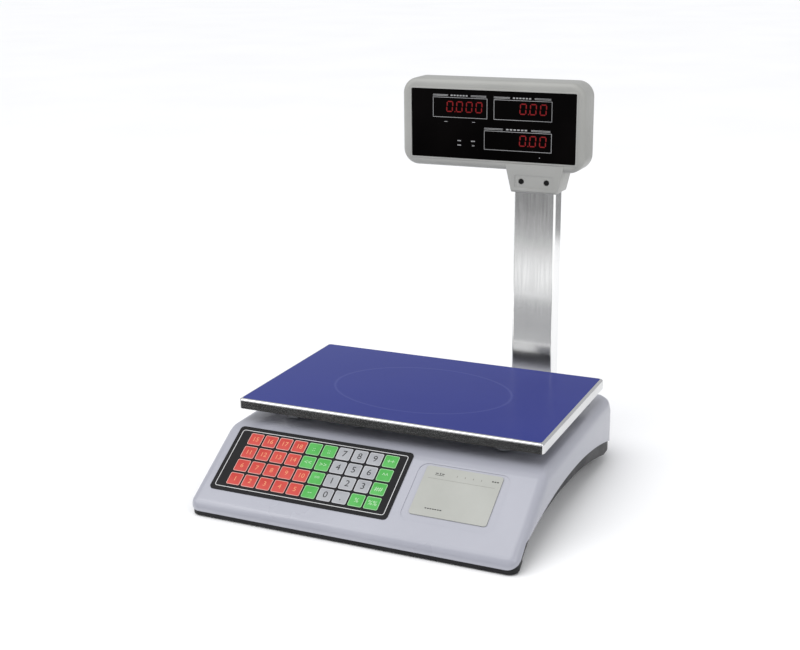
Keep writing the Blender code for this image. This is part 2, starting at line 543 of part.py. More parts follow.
# ---------------------------------------------------------------- mast and its socket
mast_front, mast_rear = MAST_Y - MAST_D / 2, MAST_Y + MAST_D / 2
mast = prism("mast", rounded_rectangle(MAST_W / 2, mast_front, mast_rear, 0.003, steps=3, middle=MAST_X),
             MAST_BOTTOM, MAST_HEAD_TOP, material=STAINLESS)
cut(mast, prism("cut_mast_inside", rounded_rectangle(MAST_W / 2 - MAST_WALL, mast_front + MAST_WALL,
                                                     mast_rear - MAST_WALL, 0.0015, steps=3, middle=MAST_X),
                0.0, 0.5, cutter=True))
mast_hole = rounded_rectangle(MAST_W / 2 + GAP, mast_front - GAP, mast_rear + GAP, 0.003, steps=3,
                              middle=MAST_X)
socket_rear = mast_rear + 0.0045
socket = prism("mast_socket", rounded_rectangle(SOCKET_HALF_W, BASE_REAR + GAP, socket_rear, 0.0005, 0.007,
                                                steps=4, middle=MAST_X), 0.0125, SOCKET_TOP, material=WHITE)
cut(socket, prism("cut_socket_hole", mast_hole, MAST_BOTTOM - GAP, 0.1, cutter=True),
    box("cut_socket_cable", (0.012, 0.03, 0.012), (MAST_X, BASE_REAR + 0.010, 0.052), cutter=True))
cut(mast, box("cut_mast_cable", (0.012, 0.006, 0.012), (MAST_X, mast_front, 0.052), cutter=True))
for k, side in enumerate((-1, 1), 1):
    x = MAST_X + side * 0.0140
    hole = cylinder(f"cut_socket_screw_{k}", 0.0021, (x, BASE_REAR - 0.01, 0.042), 0.10, axis="Y", sides=12)
    cut(socket, hole)
    cut(mast, hole)
    turned(f"socket_screw_{k}", [(0, 0.1285), (0.0018, 0.1285), (0.0018, socket_rear + GAP),
                                 (0.0038, socket_rear + GAP), (0.0038, socket_rear + 0.0024),
                                 (0, socket_rear + 0.0024)], (x, 0, 0.042), STEEL, sides=12, axis="Y")


# ---------------------------------------------------------------- display head
def head_ring(inset, y, edge=0.0):
    """Outline of the head at one depth; edge draws it in towards the front or rear face."""
    draw = inset + edge
    outline = rounded_rectangle(HEAD_HALF_W - draw, HEAD_BOTTOM + draw, HEAD_TOP - draw,
                                HEAD_CORNER - draw, steps=5, middle=HEAD_X)
    return at_level(outline, y, "Y")


def neck_ring(y, edge=0.0):
    """Outline of the tapering neck at one depth, drawn in by edge."""
    top, bottom = NECK_HALF_TOP - edge, NECK_HALF_BOTTOM - edge
    low, high = NECK_BOTTOM + edge / 2, HEAD_BOTTOM + 0.008
    return [(MAST_X + top, y, high), (MAST_X - top, y, high),
            (MAST_X + bottom, y, low + 0.0012), (MAST_X - bottom, y, low + 0.0012),
            (MAST_X + bottom - 0.0012, y, low), (MAST_X - bottom + 0.0012, y, low)]


def window_outline(grow, corner):
    return rounded_rectangle(WINDOW_W / 2 + grow, WINDOW_Z - WINDOW_H / 2 - grow,
                             WINDOW_Z + WINDOW_H / 2 + grow, corner, steps=2, middle=WINDOW_X)


def head_shell(word, face_y, split_y, neck_y, sign):
    """Half of the head with its half of the neck; sign is the direction the face looks."""
    rings = head_ring(0, split_y)
    for k in range(4):
        across, back = math.cos(math.radians(30 * k)), math.sin(math.radians(30 * k))
        rings += head_ring(0, face_y - sign * HEAD_EDGE * (1 - back), HEAD_EDGE * (1 - across))
    shell = hull(f"head_{word}_shell", rings, GREY)
    inside = head_ring(WALL, split_y - sign * 0.01) + head_ring(WALL, face_y - sign * 0.0075)
    inside += head_ring(WALL, face_y - sign * 0.0036, 0.004)
    join(shell, hull(f"add_neck_{word}", neck_ring(split_y) + neck_ring(neck_y - sign * 0.002)
                     + neck_ring(neck_y, 0.002), cutter=True))
    step, outside = sorted((face_y - sign * 0.0025, face_y + sign * 0.01))
    cut(shell, hull(f"cut_inside_{word}", inside, cutter=True),
        prism(f"cut_mast_{word}", mast_hole, 0.28, MAST_HEAD_TOP, cutter=True),
        prism(f"cut_recess_{word}", window_outline(GAP, 0.0015), step, outside, "Y", cutter=True),
        box(f"cut_view_{word}", (WINDOW_W - 0.006, 0.03, WINDOW_H - 0.006), (WINDOW_X, face_y, WINDOW_Z),
            cutter=True))
    low, high = sorted((face_y - sign * WINDOW_SET, face_y - sign * (WINDOW_SET + WINDOW_T)))
    prism(f"display_{word}_window", window_outline(0.0, 0.0012), low, high, "Y", material=WINDOW)
    return shell


front_shell = head_shell("front", HEAD_FRONT, HEAD_SPLIT - GAP / 2, NECK_FRONT, -1)
head_shell("rear", HEAD_REAR, HEAD_SPLIT + GAP / 2, NECK_REAR, 1)
for k, side in enumerate((-1, 1), 1):
    x = MAST_X + side * NECK_SCREW_X
    hole = cylinder(f"cut_neck_screw_{k}", 0.0018, (x, 0.14, NECK_SCREW_Z), 0.020, axis="Y", sides=12)
    sink = cylinder(f"cut_neck_sink_{k}", 0.0034, (x, 0.14, NECK_SCREW_Z), 0.0102, axis="Y", sides=16)
    cut(front_shell, hole, sink)
    cut(mast, hole)
    turned(f"neck_screw_{k}", [(0, 0.1492), (0.0030, 0.1492), (0.0030, 0.1499), (0.0014, 0.1499),
                               (0.0014, 0.1570), (0, 0.1570)],
           (x, 0, NECK_SCREW_Z), DARK_STEEL, sides=12, axis="Y")

for word, face, sign in (("front", HEAD_FRONT, -1), ("rear", HEAD_REAR, 1)):
    board_y = face - sign * BOARD_SET
    box(f"display_board_{word}", (0.190, 0.0016, 0.066), (WINDOW_X, board_y, WINDOW_Z + 0.001), BOARD)
    module_face = face - sign * 0.0028
    depth = BOARD_SET - 0.0028 - 0.0008 - GAP
    for kind, across, up, width in (("weight", -0.0295, 0.0215, 0.062), ("price", 0.0450, 0.0215, 0.062),
                                    ("total", 0.0395, -0.0110, 0.074)):
        box(f"digits_{kind}_{word}", (width, depth, 0.020),
            (WINDOW_X - sign * across, module_face - sign * depth / 2, WINDOW_Z + up), LED)

# ---------------------------------------------------------------- origin
for obj in scene.objects:
    obj.location.y -= MIDDLE_Y
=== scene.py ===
import math

import bpy
from mathutils import Matrix, Vector


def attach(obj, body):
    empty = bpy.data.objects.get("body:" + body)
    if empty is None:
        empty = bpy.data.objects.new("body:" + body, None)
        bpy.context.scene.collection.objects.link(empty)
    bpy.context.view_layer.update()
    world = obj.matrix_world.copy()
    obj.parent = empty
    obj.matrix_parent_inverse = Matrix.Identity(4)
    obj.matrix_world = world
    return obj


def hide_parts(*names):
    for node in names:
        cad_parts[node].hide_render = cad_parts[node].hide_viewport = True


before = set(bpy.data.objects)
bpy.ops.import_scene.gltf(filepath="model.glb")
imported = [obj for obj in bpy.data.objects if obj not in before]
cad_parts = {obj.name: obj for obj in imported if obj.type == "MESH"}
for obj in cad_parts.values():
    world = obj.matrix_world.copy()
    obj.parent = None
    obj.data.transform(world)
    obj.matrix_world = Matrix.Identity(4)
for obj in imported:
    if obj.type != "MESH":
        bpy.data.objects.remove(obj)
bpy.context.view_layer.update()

# ------------------------------------------------------------------ sizes, in metres
# Pieces are modelled round the middle of the pan and moved back by SHIFT when they are finished.
SHIFT = 0.00525
HALF_W, FRONT, REAR = 0.1795, -0.2005, 0.134
FRONT_CORNER, REAR_CORNER, TRAY_INSET = 0.012, 0.030, 0.0015
TOP = 0.0715
SLOPE = math.radians(31.2)
SLOPE_POINT = Vector((0.0, -0.1836, 0.0261))
SLOPE_NORMAL = Vector((0.0, -math.sin(SLOPE), math.cos(SLOPE)))
WALL = 0.0025
SEAM_MID, SEAM_TOP, SEAM_R = -0.035, 0.043, 0.5365
GRIP_MID, GRIP_TOP, GRIP_R = -0.070, 0.0345, 0.60
PAN_TOP, PAN_HALF_W, PAN_HALF_D = 0.097, 0.1715, 0.106
MAST_X, MAST_Y, MAST_HALF_W, MAST_HALF_D = 0.071, 0.1645, 0.025, 0.0125
MAST_FOOT, MAST_TOP = 0.020, 0.322
HEAD_LEFT, HEAD_RIGHT, HEAD_BOTTOM, HEAD_TOP = -0.0903, 0.1281, 0.3146, 0.4144
HEAD_FRONT, HEAD_REAR, HEAD_SPLIT = 0.150, 0.190, 0.170
NECK_FRONT, NECK_REAR, NECK_BOTTOM, NECK_HALF_W, NECK_TAPER = 0.149, 0.186, 0.2903, 0.035, 0.78
NECK_SCREW_X, NECK_SCREW_Z = 0.0149, 0.3030
WINDOW_X, WINDOW_Z, WINDOW_W, WINDOW_H = 0.0202, 0.3640, 0.1967, 0.0777
WINDOW_SET = 0.0004
GAP = 0.0003
PAN_SKIRT, PAN_SHEET = 0.0108, 0.0012
CUSHION_X, CUSHION_Y = 0.120, 0.072
LEVEL_X, LEVEL_Y = 0.110, 0.008
TRAY_LOW, TRAY_FLOOR = 0.0015, 0.0100
GRIP_START, GRIP_LINE, GRIP_SIDE = -0.1825, 0.0125, 0.150
PLATE_X, PLATE_Y = 0.0972, -0.1477
KEY_X, KEY_Y, KEY_W, KEY_H = -0.0627, -0.1483, 0.202, 0.083
DOOR_X, DOOR_Y, DOOR_SCREW_OUT = -0.078, 0.052, 0.058
INLET_Y, INLET_Z, SWITCH_Y, SWITCH_Z, SIDE_X = -0.040, 0.0215, 0.010, 0.0192, 0.150


# ------------------------------------------------------------------ modelling by hand
def only(obj):
    bpy.ops.object.select_all(action="DESELECT")
    obj.select_set(True)
    bpy.context.view_layer.objects.active = obj


def settle(obj):
    only(obj)
    bpy.ops.object.transform_apply(location=True, rotation=True, scale=True)


def block(name, low, high):
    """A cube stretched between two corners."""
    bpy.ops.mesh.primitive_cube_add(size=1.0, location=[(a + b) / 2 for a, b in zip(low, high)])
    obj = bpy.context.object
    obj.name = name
    obj.scale = [b - a for a, b in zip(low, high)]
    settle(obj)
    return obj


def rod(name, radius, start, length, axis="Z", sides=48):
    bpy.ops.mesh.primitive_cylinder_add(vertices=sides, radius=radius, depth=length)
    obj = bpy.context.object
    obj.name = name
    turn = {"Z": (0, 0, 0), "X": (0, math.radians(90), 0), "Y": (math.radians(-90), 0, 0)}[axis]
    obj.rotation_euler = turn
    along = {"Z": Vector((0, 0, 1)), "X": Vector((1, 0, 0)), "Y": Vector((0, 1, 0))}[axis]
    obj.location = Vector(start) + along * length / 2
    settle(obj)
    return obj


def pick(obj, kind, test):
    """Select vertices, edges or faces of a mesh and stay in edit mode."""
    only(obj)
    bpy.ops.object.mode_set(mode="EDIT")
    bpy.ops.mesh.select_mode(type=kind)
    bpy.ops.mesh.select_all(action="DESELECT")
    bpy.ops.object.mode_set(mode="OBJECT")
    mesh = obj.data
    if kind == "VERT":
        for v in mesh.vertices:
            v.select = test(v.co)
    elif kind == "EDGE":
        for e in mesh.edges:
            e.select = test(mesh.vertices[e.vertices[0]].co, mesh.vertices[e.vertices[1]].co)
    else:
        for p in mesh.polygons:
            p.select = test(p.center, p.normal)
    bpy.ops.object.mode_set(mode="EDIT")


def done():
    bpy.ops.object.mode_set(mode="OBJECT")


def round_edges(obj, test, width, segments=4):
    pick(obj, "EDGE", test)
    bpy.ops.mesh.bevel(offset=width, segments=segments, affect="EDGES", profile=0.5)
    done()
    return obj


def upright(a, b):
    return abs(a.x - b.x) < 1e-6 and abs(a.y - b.y) < 1e-6


def along_y(a, b):
    return abs(a.x - b.x) < 1e-6 and abs(a.z - b.z) < 1e-6


def flat_ring(level):
    """Edges that lie at one height."""
    return lambda a, b: abs(a.z - level) < 1e-5 and abs(b.z - level) < 1e-5


def shape(obj, other, operation="DIFFERENCE"):
    """Cut, join or intersect with another piece and use that piece up."""
    only(obj)
    modifier = obj.modifiers.new("shape", "BOOLEAN")
    modifier.operation = operation
    modifier.solver = "EXACT"
    modifier.object = other
    bpy.ops.object.modifier_apply(modifier=modifier.name)
    bpy.data.objects.remove(other, do_unlink=True)
    return obj


def soften(obj, width, segments=2, angle=35):
    """Break every sharp edge a little."""
    only(obj)
    modifier = obj.modifiers.new("soften", "BEVEL")
    modifier.width = width
    modifier.segments = segments
    modifier.limit_method = "ANGLE"
    modifier.angle_limit = math.radians(angle)
    modifier.use_clamp_overlap = True
    bpy.ops.object.modifier_apply(modifier=modifier.name)
    return obj


def shell(obj, thickness):
    only(obj)
    modifier = obj.modifiers.new("shell", "SOLIDIFY")
    modifier.thickness = thickness
    modifier.offset = -1.0
    modifier.use_even_offset = True
    bpy.ops.object.modifier_apply(modifier=modifier.name)
    return obj


def cut_plane(obj, point, normal):
    """Slice away what lies on the normal's side and close the cut."""
    pick(obj, "VERT", lambda v: True)
    bpy.ops.mesh.bisect(plane_co=point, plane_no=normal, use_fill=True, clear_outer=True)
    done()
    return obj


def merge(objs, name):
    bpy.ops.object.select_all(action="DESELECT")
    for obj in objs:
        obj.select_set(True)
    bpy.context.view_layer.objects.active = objs[0]
    bpy.ops.object.join()
    objs[0].name = name
    return objs[0]


def copy_of(obj, name, shift=(0, 0, 0)):
    """A copy with its own mesh, moved into place."""
    only(obj)
    bpy.ops.object.duplicate(linked=False)
    other = bpy.context.object
    other.name = name
    other.location = shift
    settle(other)
    return other


def turn_onto_slope(obj, x, y, lift=0.0):
    """Take a piece modelled flat round the origin and lay it on the sloping front."""
    z = SLOPE_POINT.z + (y - SLOPE_POINT.y) * math.tan(SLOPE)
    obj.rotation_euler = (SLOPE, 0, 0)
    obj.location = Vector((x, y, z)) + SLOPE_NORMAL * lift
    settle(obj)
    return obj


def level_shading(obj):
    """Let the large flat faces lead the shading, so that a rounded edge doesn't bend it."""
    only(obj)
    modifier = obj.modifiers.new("level_shading", "WEIGHTED_NORMAL")
    modifier.keep_sharp = True
    bpy.ops.object.modifier_apply(modifier=modifier.name)


def finish_piece(obj, material, body, nodes=(), angle=32):
    obj.location.y += SHIFT
    settle(obj)
    obj.data.materials.clear()
    obj.data.materials.append(material)
    only(obj)
    bpy.ops.object.shade_smooth_by_angle(angle=math.radians(angle))
    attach(obj, body)
    if nodes:
        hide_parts(*nodes)
    return obj


# ------------------------------------------------------------------ shader groups
def socket(group, name, kind, out=False, value=None):
    item = group.interface.new_socket(name=name, in_out="OUTPUT" if out else "INPUT", socket_type=kind)
    if value is not None:
        item.default_value = value
    return item


def wire(tree, a, b):
    tree.links.new(a, b)


def grain_group():
    """Two sizes of noise: a soft blotch for colour and a fine height for bump."""
    group = bpy.data.node_groups.new("surface_grain", "ShaderNodeTree")
    socket(group, "Blotch Scale", "NodeSocketFloat", value=20.0)
    socket(group, "Fine Scale", "NodeSocketFloat", value=900.0)
    socket(group, "Blotch", "NodeSocketFloat", out=True)
    socket(group, "Height", "NodeSocketFloat", out=True)
    n = group.nodes
    ins, outs = n.new("NodeGroupInput"), n.new("NodeGroupOutput")
    place = n.new("ShaderNodeTexCoord")
    blotch, fine = n.new("ShaderNodeTexNoise"), n.new("ShaderNodeTexNoise")
    blotch.inputs["Detail"].default_value = 4.0
    fine.inputs["Detail"].default_value = 2.0
    wire(group, place.outputs["Object"], blotch.inputs["Vector"])
    wire(group, place.outputs["Object"], fine.inputs["Vector"])
    wire(group, ins.outputs["Blotch Scale"], blotch.inputs["Scale"])
    wire(group, ins.outputs["Fine Scale"], fine.inputs["Scale"])
    wire(group, blotch.outputs["Fac"], outs.inputs["Blotch"])
    wire(group, fine.outputs["Fac"], outs.inputs["Height"])
    return group


def wear_group():
    """Mask of rubbed edges, broken up by noise."""
    group = bpy.data.node_groups.new("edge_rub", "ShaderNodeTree")
    socket(group, "Amount", "NodeSocketFloat", value=0.5)
    socket(group, "Mask", "NodeSocketFloat", out=True)
    n = group.nodes
    ins, outs = n.new("NodeGroupInput"), n.new("NodeGroupOutput")
    geometry, noise = n.new("ShaderNodeNewGeometry"), n.new("ShaderNodeTexNoise")
    place, ramp, times, scale = (n.new("ShaderNodeTexCoord"), n.new("ShaderNodeMapRange"),
                                 n.new("ShaderNodeMath"), n.new("ShaderNodeMath"))
    noise.inputs["Scale"].default_value = 120.0
    ramp.inputs["From Min"].default_value = 0.52
    ramp.inputs["From Max"].default_value = 0.62
    times.operation = scale.operation = "MULTIPLY"
    wire(group, place.outputs["Object"], noise.inputs["Vector"])
    wire(group, geometry.outputs["Pointiness"], ramp.inputs["Value"])
    wire(group, ramp.outputs["Result"], times.inputs[0])
    wire(group, noise.outputs["Fac"], times.inputs[1])
    wire(group, times.outputs["Value"], scale.inputs[0])
    wire(group, ins.outputs["Amount"], scale.inputs[1])
    wire(group, scale.outputs["Value"], outs.inputs["Mask"])
    return group


def brushed_group():
    """Long fine streaks for polished and brushed metal."""
    group = bpy.data.node_groups.new("metal_streaks", "ShaderNodeTree")
    socket(group, "Stretch", "NodeSocketVector", value=(40.0, 900.0, 900.0))
    socket(group, "Streak", "NodeSocketFloat", out=True)
    n = group.nodes
    ins, outs = n.new("NodeGroupInput"), n.new("NodeGroupOutput")
    place, times = n.new("ShaderNodeTexCoord"), n.new("ShaderNodeVectorMath")
    noise = n.new("ShaderNodeTexNoise")
    times.operation = "MULTIPLY"
    noise.inputs["Scale"].default_value = 1.0
    noise.inputs["Detail"].default_value = 3.0
    wire(group, place.outputs["Object"], times.inputs[0])
    wire(group, ins.outputs["Stretch"], times.inputs[1])
    wire(group, times.outputs["Vector"], noise.inputs["Vector"])
    wire(group, noise.outputs["Fac"], outs.inputs["Streak"])
    return group


GRAIN, WEAR, STREAKS = grain_group(), wear_group(), brushed_group()


def use_group(tree, group, **values):
    node = tree.nodes.new("ShaderNodeGroup")
    node.node_tree = group
    for name, value in values.items():
        node.inputs[name.replace("_", " ")].default_value = value
    return node


def mixed(tree, factor, first, second):
    """Mix two colours, given as sockets or as plain values, by a factor socket."""
    node = tree.nodes.new("ShaderNodeMix")
    node.data_type = "RGBA"
    wire(tree, factor, node.inputs["Factor"])
    for index, value in ((6, first), (7, second)):
        if isinstance(value, (tuple, list)):
            node.inputs[index].default_value = (*value, 1.0)
        else:
            wire(tree, value, node.inputs[index])
    return node.outputs[2]


def ranged(tree, value, low, high, from_low=0.35, from_high=0.65):
    node = tree.nodes.new("ShaderNodeMapRange")
    node.inputs["From Min"].default_value = from_low
    node.inputs["From Max"].default_value = from_high
    node.inputs["To Min"].default_value = low
    node.inputs["To Max"].default_value = high
    wire(tree, value, node.inputs["Value"])
    return node.outputs["Result"]


def bumped(tree, shader, height, strength, distance):
    bump = tree.nodes.new("ShaderNodeBump")
    bump.inputs["Strength"].default_value = strength
    bump.inputs["Distance"].default_value = distance
    wire(tree, height, bump.inputs["Height"])
    wire(tree, bump.outputs["Normal"], shader.inputs["Normal"])
    return bump


def plastic(name, colour, shade, roughness=0.35, spread=0.08, fine=900.0, blotch=18.0, bump=0.15,
            rub=None, coat=0.0, glow=None, shine=0.5):
    """Moulded or printed plastic: slight blotches, fine texture, rubbed edges."""
    material = bpy.data.materials.new(name)
    material.use_nodes = True
    tree = material.node_tree
    shader = tree.nodes["Principled BSDF"]
    grain = use_group(tree, GRAIN, Blotch_Scale=blotch, Fine_Scale=fine)
    colour_out = mixed(tree, ranged(tree, grain.outputs["Blotch"], 0.0, 1.0), colour, shade)
    if rub:
        wear = use_group(tree, WEAR, Amount=0.7)
        colour_out = mixed(tree, wear.outputs["Mask"], colour_out, rub)
    wire(tree, colour_out, shader.inputs["Base Color"])
    wire(tree, ranged(tree, grain.outputs["Blotch"], roughness - spread / 2, roughness + spread / 2),
         shader.inputs["Roughness"])
    bumped(tree, shader, grain.outputs["Height"], bump, 0.0002)
    shader.inputs["Specular IOR Level"].default_value = shine
    shader.inputs["Coat Weight"].default_value = coat
    shader.inputs["Coat Roughness"].default_value = 0.08
    if glow:
        shader.inputs["Emission Color"].default_value = (*glow[0], 1.0)
        shader.inputs["Emission Strength"].default_value = glow[1]
    return material


def metal(name, colour, shade, roughness=0.2, spread=0.1, stretch=(40.0, 900.0, 900.0), bump=0.05):
    material = bpy.data.materials.new(name)
    material.use_nodes = True
    tree = material.node_tree
    shader = tree.nodes["Principled BSDF"]
    shader.inputs["Metallic"].default_value = 1.0
    streak = use_group(tree, STREAKS, Stretch=stretch).outputs["Streak"]
    grain = use_group(tree, GRAIN, Blotch_Scale=14.0, Fine_Scale=600.0)
    wire(tree, mixed(tree, ranged(tree, grain.outputs["Blotch"], 0.0, 1.0), colour, shade),
         shader.inputs["Base Color"])
    wire(tree, ranged(tree, streak, roughness - spread / 2, roughness + spread / 2),
         shader.inputs["Roughness"])
    bumped(tree, shader, streak, bump, 0.0002)
    return material


HOUSING = plastic("housing_white", (0.320, 0.325, 0.372), (0.345, 0.350, 0.397), roughness=0.30, spread=0.06,
                  fine=700.0, blotch=9.0, bump=0.04, rub=(0.45, 0.455, 0.50), coat=0.25)
TRAY = plastic("tray_black", (0.006, 0.006, 0.007), (0.013, 0.013, 0.015), roughness=0.45, spread=0.15,
               fine=1400.0, blotch=25.0, bump=0.35, rub=(0.035, 0.035, 0.035), shine=0.18)
HEAD = plastic("head_warm_grey", (0.300, 0.300, 0.283), (0.330, 0.330, 0.312), roughness=0.42, spread=0.08,
               fine=1300.0, blotch=12.0, bump=0.15, rub=(0.42, 0.42, 0.40))
PANE = plastic("window_dark", (0.0012, 0.0010, 0.0010), (0.0025, 0.0020, 0.0020), roughness=0.16, spread=0.06,
               fine=500.0, blotch=14.0, bump=0.01, shine=0.02)
SHEET = plastic("keypad_black", (0.004, 0.004, 0.005), (0.009, 0.009, 0.010), roughness=0.42, spread=0.10,
                fine=1500.0, blotch=30.0, bump=0.2, shine=0.15)
PLATE = plastic("plate_cream", (0.360, 0.365, 0.335), (0.400, 0.405, 0.375), roughness=0.55, spread=0.1,
                fine=1200.0, blotch=20.0, bump=0.1)
RUBBER = plastic("rubber_black", (0.010, 0.010, 0.010), (0.020, 0.020, 0.020), roughness=0.8, spread=0.1,
                 fine=1100.0, blotch=40.0, bump=0.5, shine=0.2)
VIAL = plastic("level_fluid", (0.30, 0.50, 0.08), (0.36, 0.56, 0.11), roughness=0.08, spread=0.02,
               fine=300.0, blotch=30.0, bump=0.0, coat=1.0)
LIT = plastic("digit_red", (0.09, 0.005, 0.005), (0.13, 0.009, 0.008), roughness=0.4,
              glow=((1.0, 0.07, 0.09), 0.10), shine=0.05)

WHITE_PRINT = plastic("print_white", (0.55, 0.55, 0.55), (0.62, 0.62, 0.62), roughness=0.5)
GREY_PRINT = plastic("print_grey", (0.27, 0.27, 0.27), (0.36, 0.36, 0.36), roughness=0.5, shine=0.1)
BLACK_PRINT = plastic("print_black", (0.012, 0.012, 0.012), (0.03, 0.03, 0.03), roughness=0.5, shine=0.2)
FAINT_PRINT = plastic("print_faint", (0.20, 0.20, 0.18), (0.26, 0.26, 0.23), roughness=0.6)


def key_plastic(name, colour, shade):
    """The embossed face of a key."""
    return plastic(name, colour, shade, roughness=0.40, spread=0.1, fine=1500.0, blotch=60.0, bump=0.15,
                   shine=0.3)


RED_KEY = key_plastic("key_red", (0.48, 0.040, 0.030), (0.53, 0.060, 0.045))
RED_EDGE = plastic("key_red_edge", (0.62, 0.31, 0.27), (0.66, 0.37, 0.33), roughness=0.45, shine=0.3)
RED_MARK = plastic("key_red_mark", (0.68, 0.25, 0.12), (0.72, 0.30, 0.15), roughness=0.5, shine=0.3)
GREEN_KEY = key_plastic("key_green", (0.055, 0.340, 0.055), (0.085, 0.400, 0.085))
GREEN_EDGE = plastic("key_green_edge", (0.27, 0.53, 0.26), (0.32, 0.58, 0.31), roughness=0.45, shine=0.3)
GREEN_MARK = plastic("key_green_mark", (0.34, 0.57, 0.33), (0.40, 0.62, 0.38), roughness=0.5, shine=0.3)
GREY_KEY = key_plastic("key_grey", (0.31, 0.315, 0.335), (0.36, 0.37, 0.385))
GREY_EDGE = plastic("key_grey_edge", (0.47, 0.47, 0.49), (0.52, 0.52, 0.54), roughness=0.45, shine=0.3)

STAINLESS = metal("pan_stainless", (0.62, 0.62, 0.62), (0.70, 0.70, 0.70), roughness=0.13, spread=0.05,
                  bump=0.02)
CHROME = metal("mast_stainless", (0.84, 0.84, 0.835), (0.90, 0.90, 0.89), roughness=0.17, spread=0.05,
               stretch=(900.0, 900.0, 25.0), bump=0.02)
EVEN = (300.0, 300.0, 300.0)
DARK_STEEL = metal("screw_black", (0.020, 0.020, 0.020), (0.035, 0.035, 0.035), roughness=0.42, spread=0.12,
                   stretch=EVEN)
ZINC = metal("screw_zinc", (0.50, 0.50, 0.51), (0.60, 0.60, 0.61), roughness=0.32, spread=0.12, stretch=EVEN)
CASTING = metal("frame_cast", (0.38, 0.39, 0.40), (0.46, 0.47, 0.48), roughness=0.5, spread=0.15,
                stretch=(400.0, 400.0, 400.0), bump=0.4)


def film_material():
    """Blue protective film: painted light that makes it a little paler at the left, a faint pressed oval,
    soft ripples.
    """
    material = bpy.data.materials.new("pan_blue_film")
    material.use_nodes = True
    tree = material.node_tree
    n = tree.nodes
    shader = n["Principled BSDF"]
    place, split = n.new("ShaderNodeTexCoord"), n.new("ShaderNodeSeparateXYZ")
    wire(tree, place.outputs["Object"], split.inputs["Vector"])
    grain = use_group(tree, GRAIN, Blotch_Scale=6.0, Fine_Scale=90.0)
    # Painted light: the blue is paler at the left, where the light falls, and darker towards the right.
    painted_light_across = ranged(tree, split.outputs["X"], 0.0, 1.0, -0.15, 0.10)
    blue = mixed(tree, painted_light_across, (0.016, 0.028, 0.205), (0.008, 0.017, 0.180))
    blue = mixed(tree, ranged(tree, grain.outputs["Blotch"], 0.0, 0.30), blue, (0.028, 0.040, 0.225))
    # Pressed outline: an ellipse drawn by its own radius.
    def squared(value, size):
        over = n.new("ShaderNodeMath")
        over.operation = "DIVIDE"
        over.inputs[1].default_value = size
        wire(tree, value, over.inputs[0])
        power = n.new("ShaderNodeMath")
        power.operation = "POWER"
        power.inputs[1].default_value = 2.0
        wire(tree, over.outputs["Value"], power.inputs[0])
        return power.outputs["Value"]
    total = n.new("ShaderNodeMath")
    wire(tree, squared(split.outputs["X"], 0.100), total.inputs[0])
    wire(tree, squared(split.outputs["Y"], 0.070), total.inputs[1])
    off = n.new("ShaderNodeMath")
    off.operation = "SUBTRACT"
    off.inputs[1].default_value = 1.0
    wire(tree, total.outputs["Value"], off.inputs[0])
    size = n.new("ShaderNodeMath")
    size.operation = "ABSOLUTE"
    wire(tree, off.outputs["Value"], size.inputs[0])
    line = ranged(tree, size.outputs["Value"], 1.0, 0.0, 0.0, 0.05)
    faint = n.new("ShaderNodeMath")
    faint.operation = "MULTIPLY"
    faint.inputs[1].default_value = 0.10
    wire(tree, line, faint.inputs[0])
    wire(tree, mixed(tree, faint.outputs["Value"], blue, (0.20, 0.24, 0.50)), shader.inputs["Base Color"])
    wire(tree, ranged(tree, grain.outputs["Blotch"], 0.16, 0.26), shader.inputs["Roughness"])
    bump = bumped(tree, shader, grain.outputs["Blotch"], 0.10, 0.004)
    second = n.new("ShaderNodeBump")
    second.inputs["Strength"].default_value = 0.15
    second.inputs["Distance"].default_value = 0.0003
    wire(tree, line, second.inputs["Height"])
    wire(tree, bump.outputs["Normal"], second.inputs["Normal"])
    wire(tree, second.outputs["Normal"], shader.inputs["Normal"])
    shader.inputs["Specular IOR Level"].default_value = 0.10
    return material


FILM = film_material()


# ------------------------------------------------------------------ base: housing and tray
def base_block(name, low_z, high_z, inset=0.0):
    """The base's own outline as a block."""
    obj = block(name, (-HALF_W + inset, FRONT + inset, low_z), (HALF_W - inset, REAR - inset, high_z))
    edge = HALF_W - inset - 1e-5
    round_edges(obj, lambda a, b: upright(a, b) and a.y < 0 and abs(a.x) > edge, FRONT_CORNER - inset, 10)
    round_edges(obj, lambda a, b: upright(a, b) and a.y > 0 and abs(a.x) > edge, REAR_CORNER - inset, 12)
    return obj


def arch_block(name, middle, top, radius):
    """A long drum across the scale, seen from the side as a shallow arch."""
    return rod(name, radius, (-0.25, middle, top - radius), 0.5, "X", 360)


def seam_block(name, drop=0.0):
    """Everything under the seam line: a big arch that dips to the front."""
    arch = arch_block(name, SEAM_MID, SEAM_TOP - drop, SEAM_R)
    cut_plane(arch, (0, FRONT, 0.0065 - drop), (0, -0.57, 0.822))
    cut_plane(arch, (0, 0.25, 0), (0, 1, 0))
    cut_plane(arch, (0, -0.25, 0), (0, -1, 0))
    cut_plane(arch, (0, 0, -0.05), (0, 0, -1))
    return arch


def rim_radius(a, b):
    """How far the housing's edge between two corners is rounded."""
    low_edge = max(a.z, b.z) < 0.001
    if upright(a, b):
        return FRONT_CORNER if a.y < 0 else 0.028
    if low_edge:
        return 0.0
    if abs(a.z - b.z) < 1e-6 and abs(a.y - b.y) < 1e-6:
        # Edges across the scale: foot of the slope, crest of the slope, rear of the top.
        return 0.006 if a.y < -0.15 else (0.012 if a.y < 0 else 0.014)
    return 0.010 if min(a.y, b.y) < -0.15 else 0.014


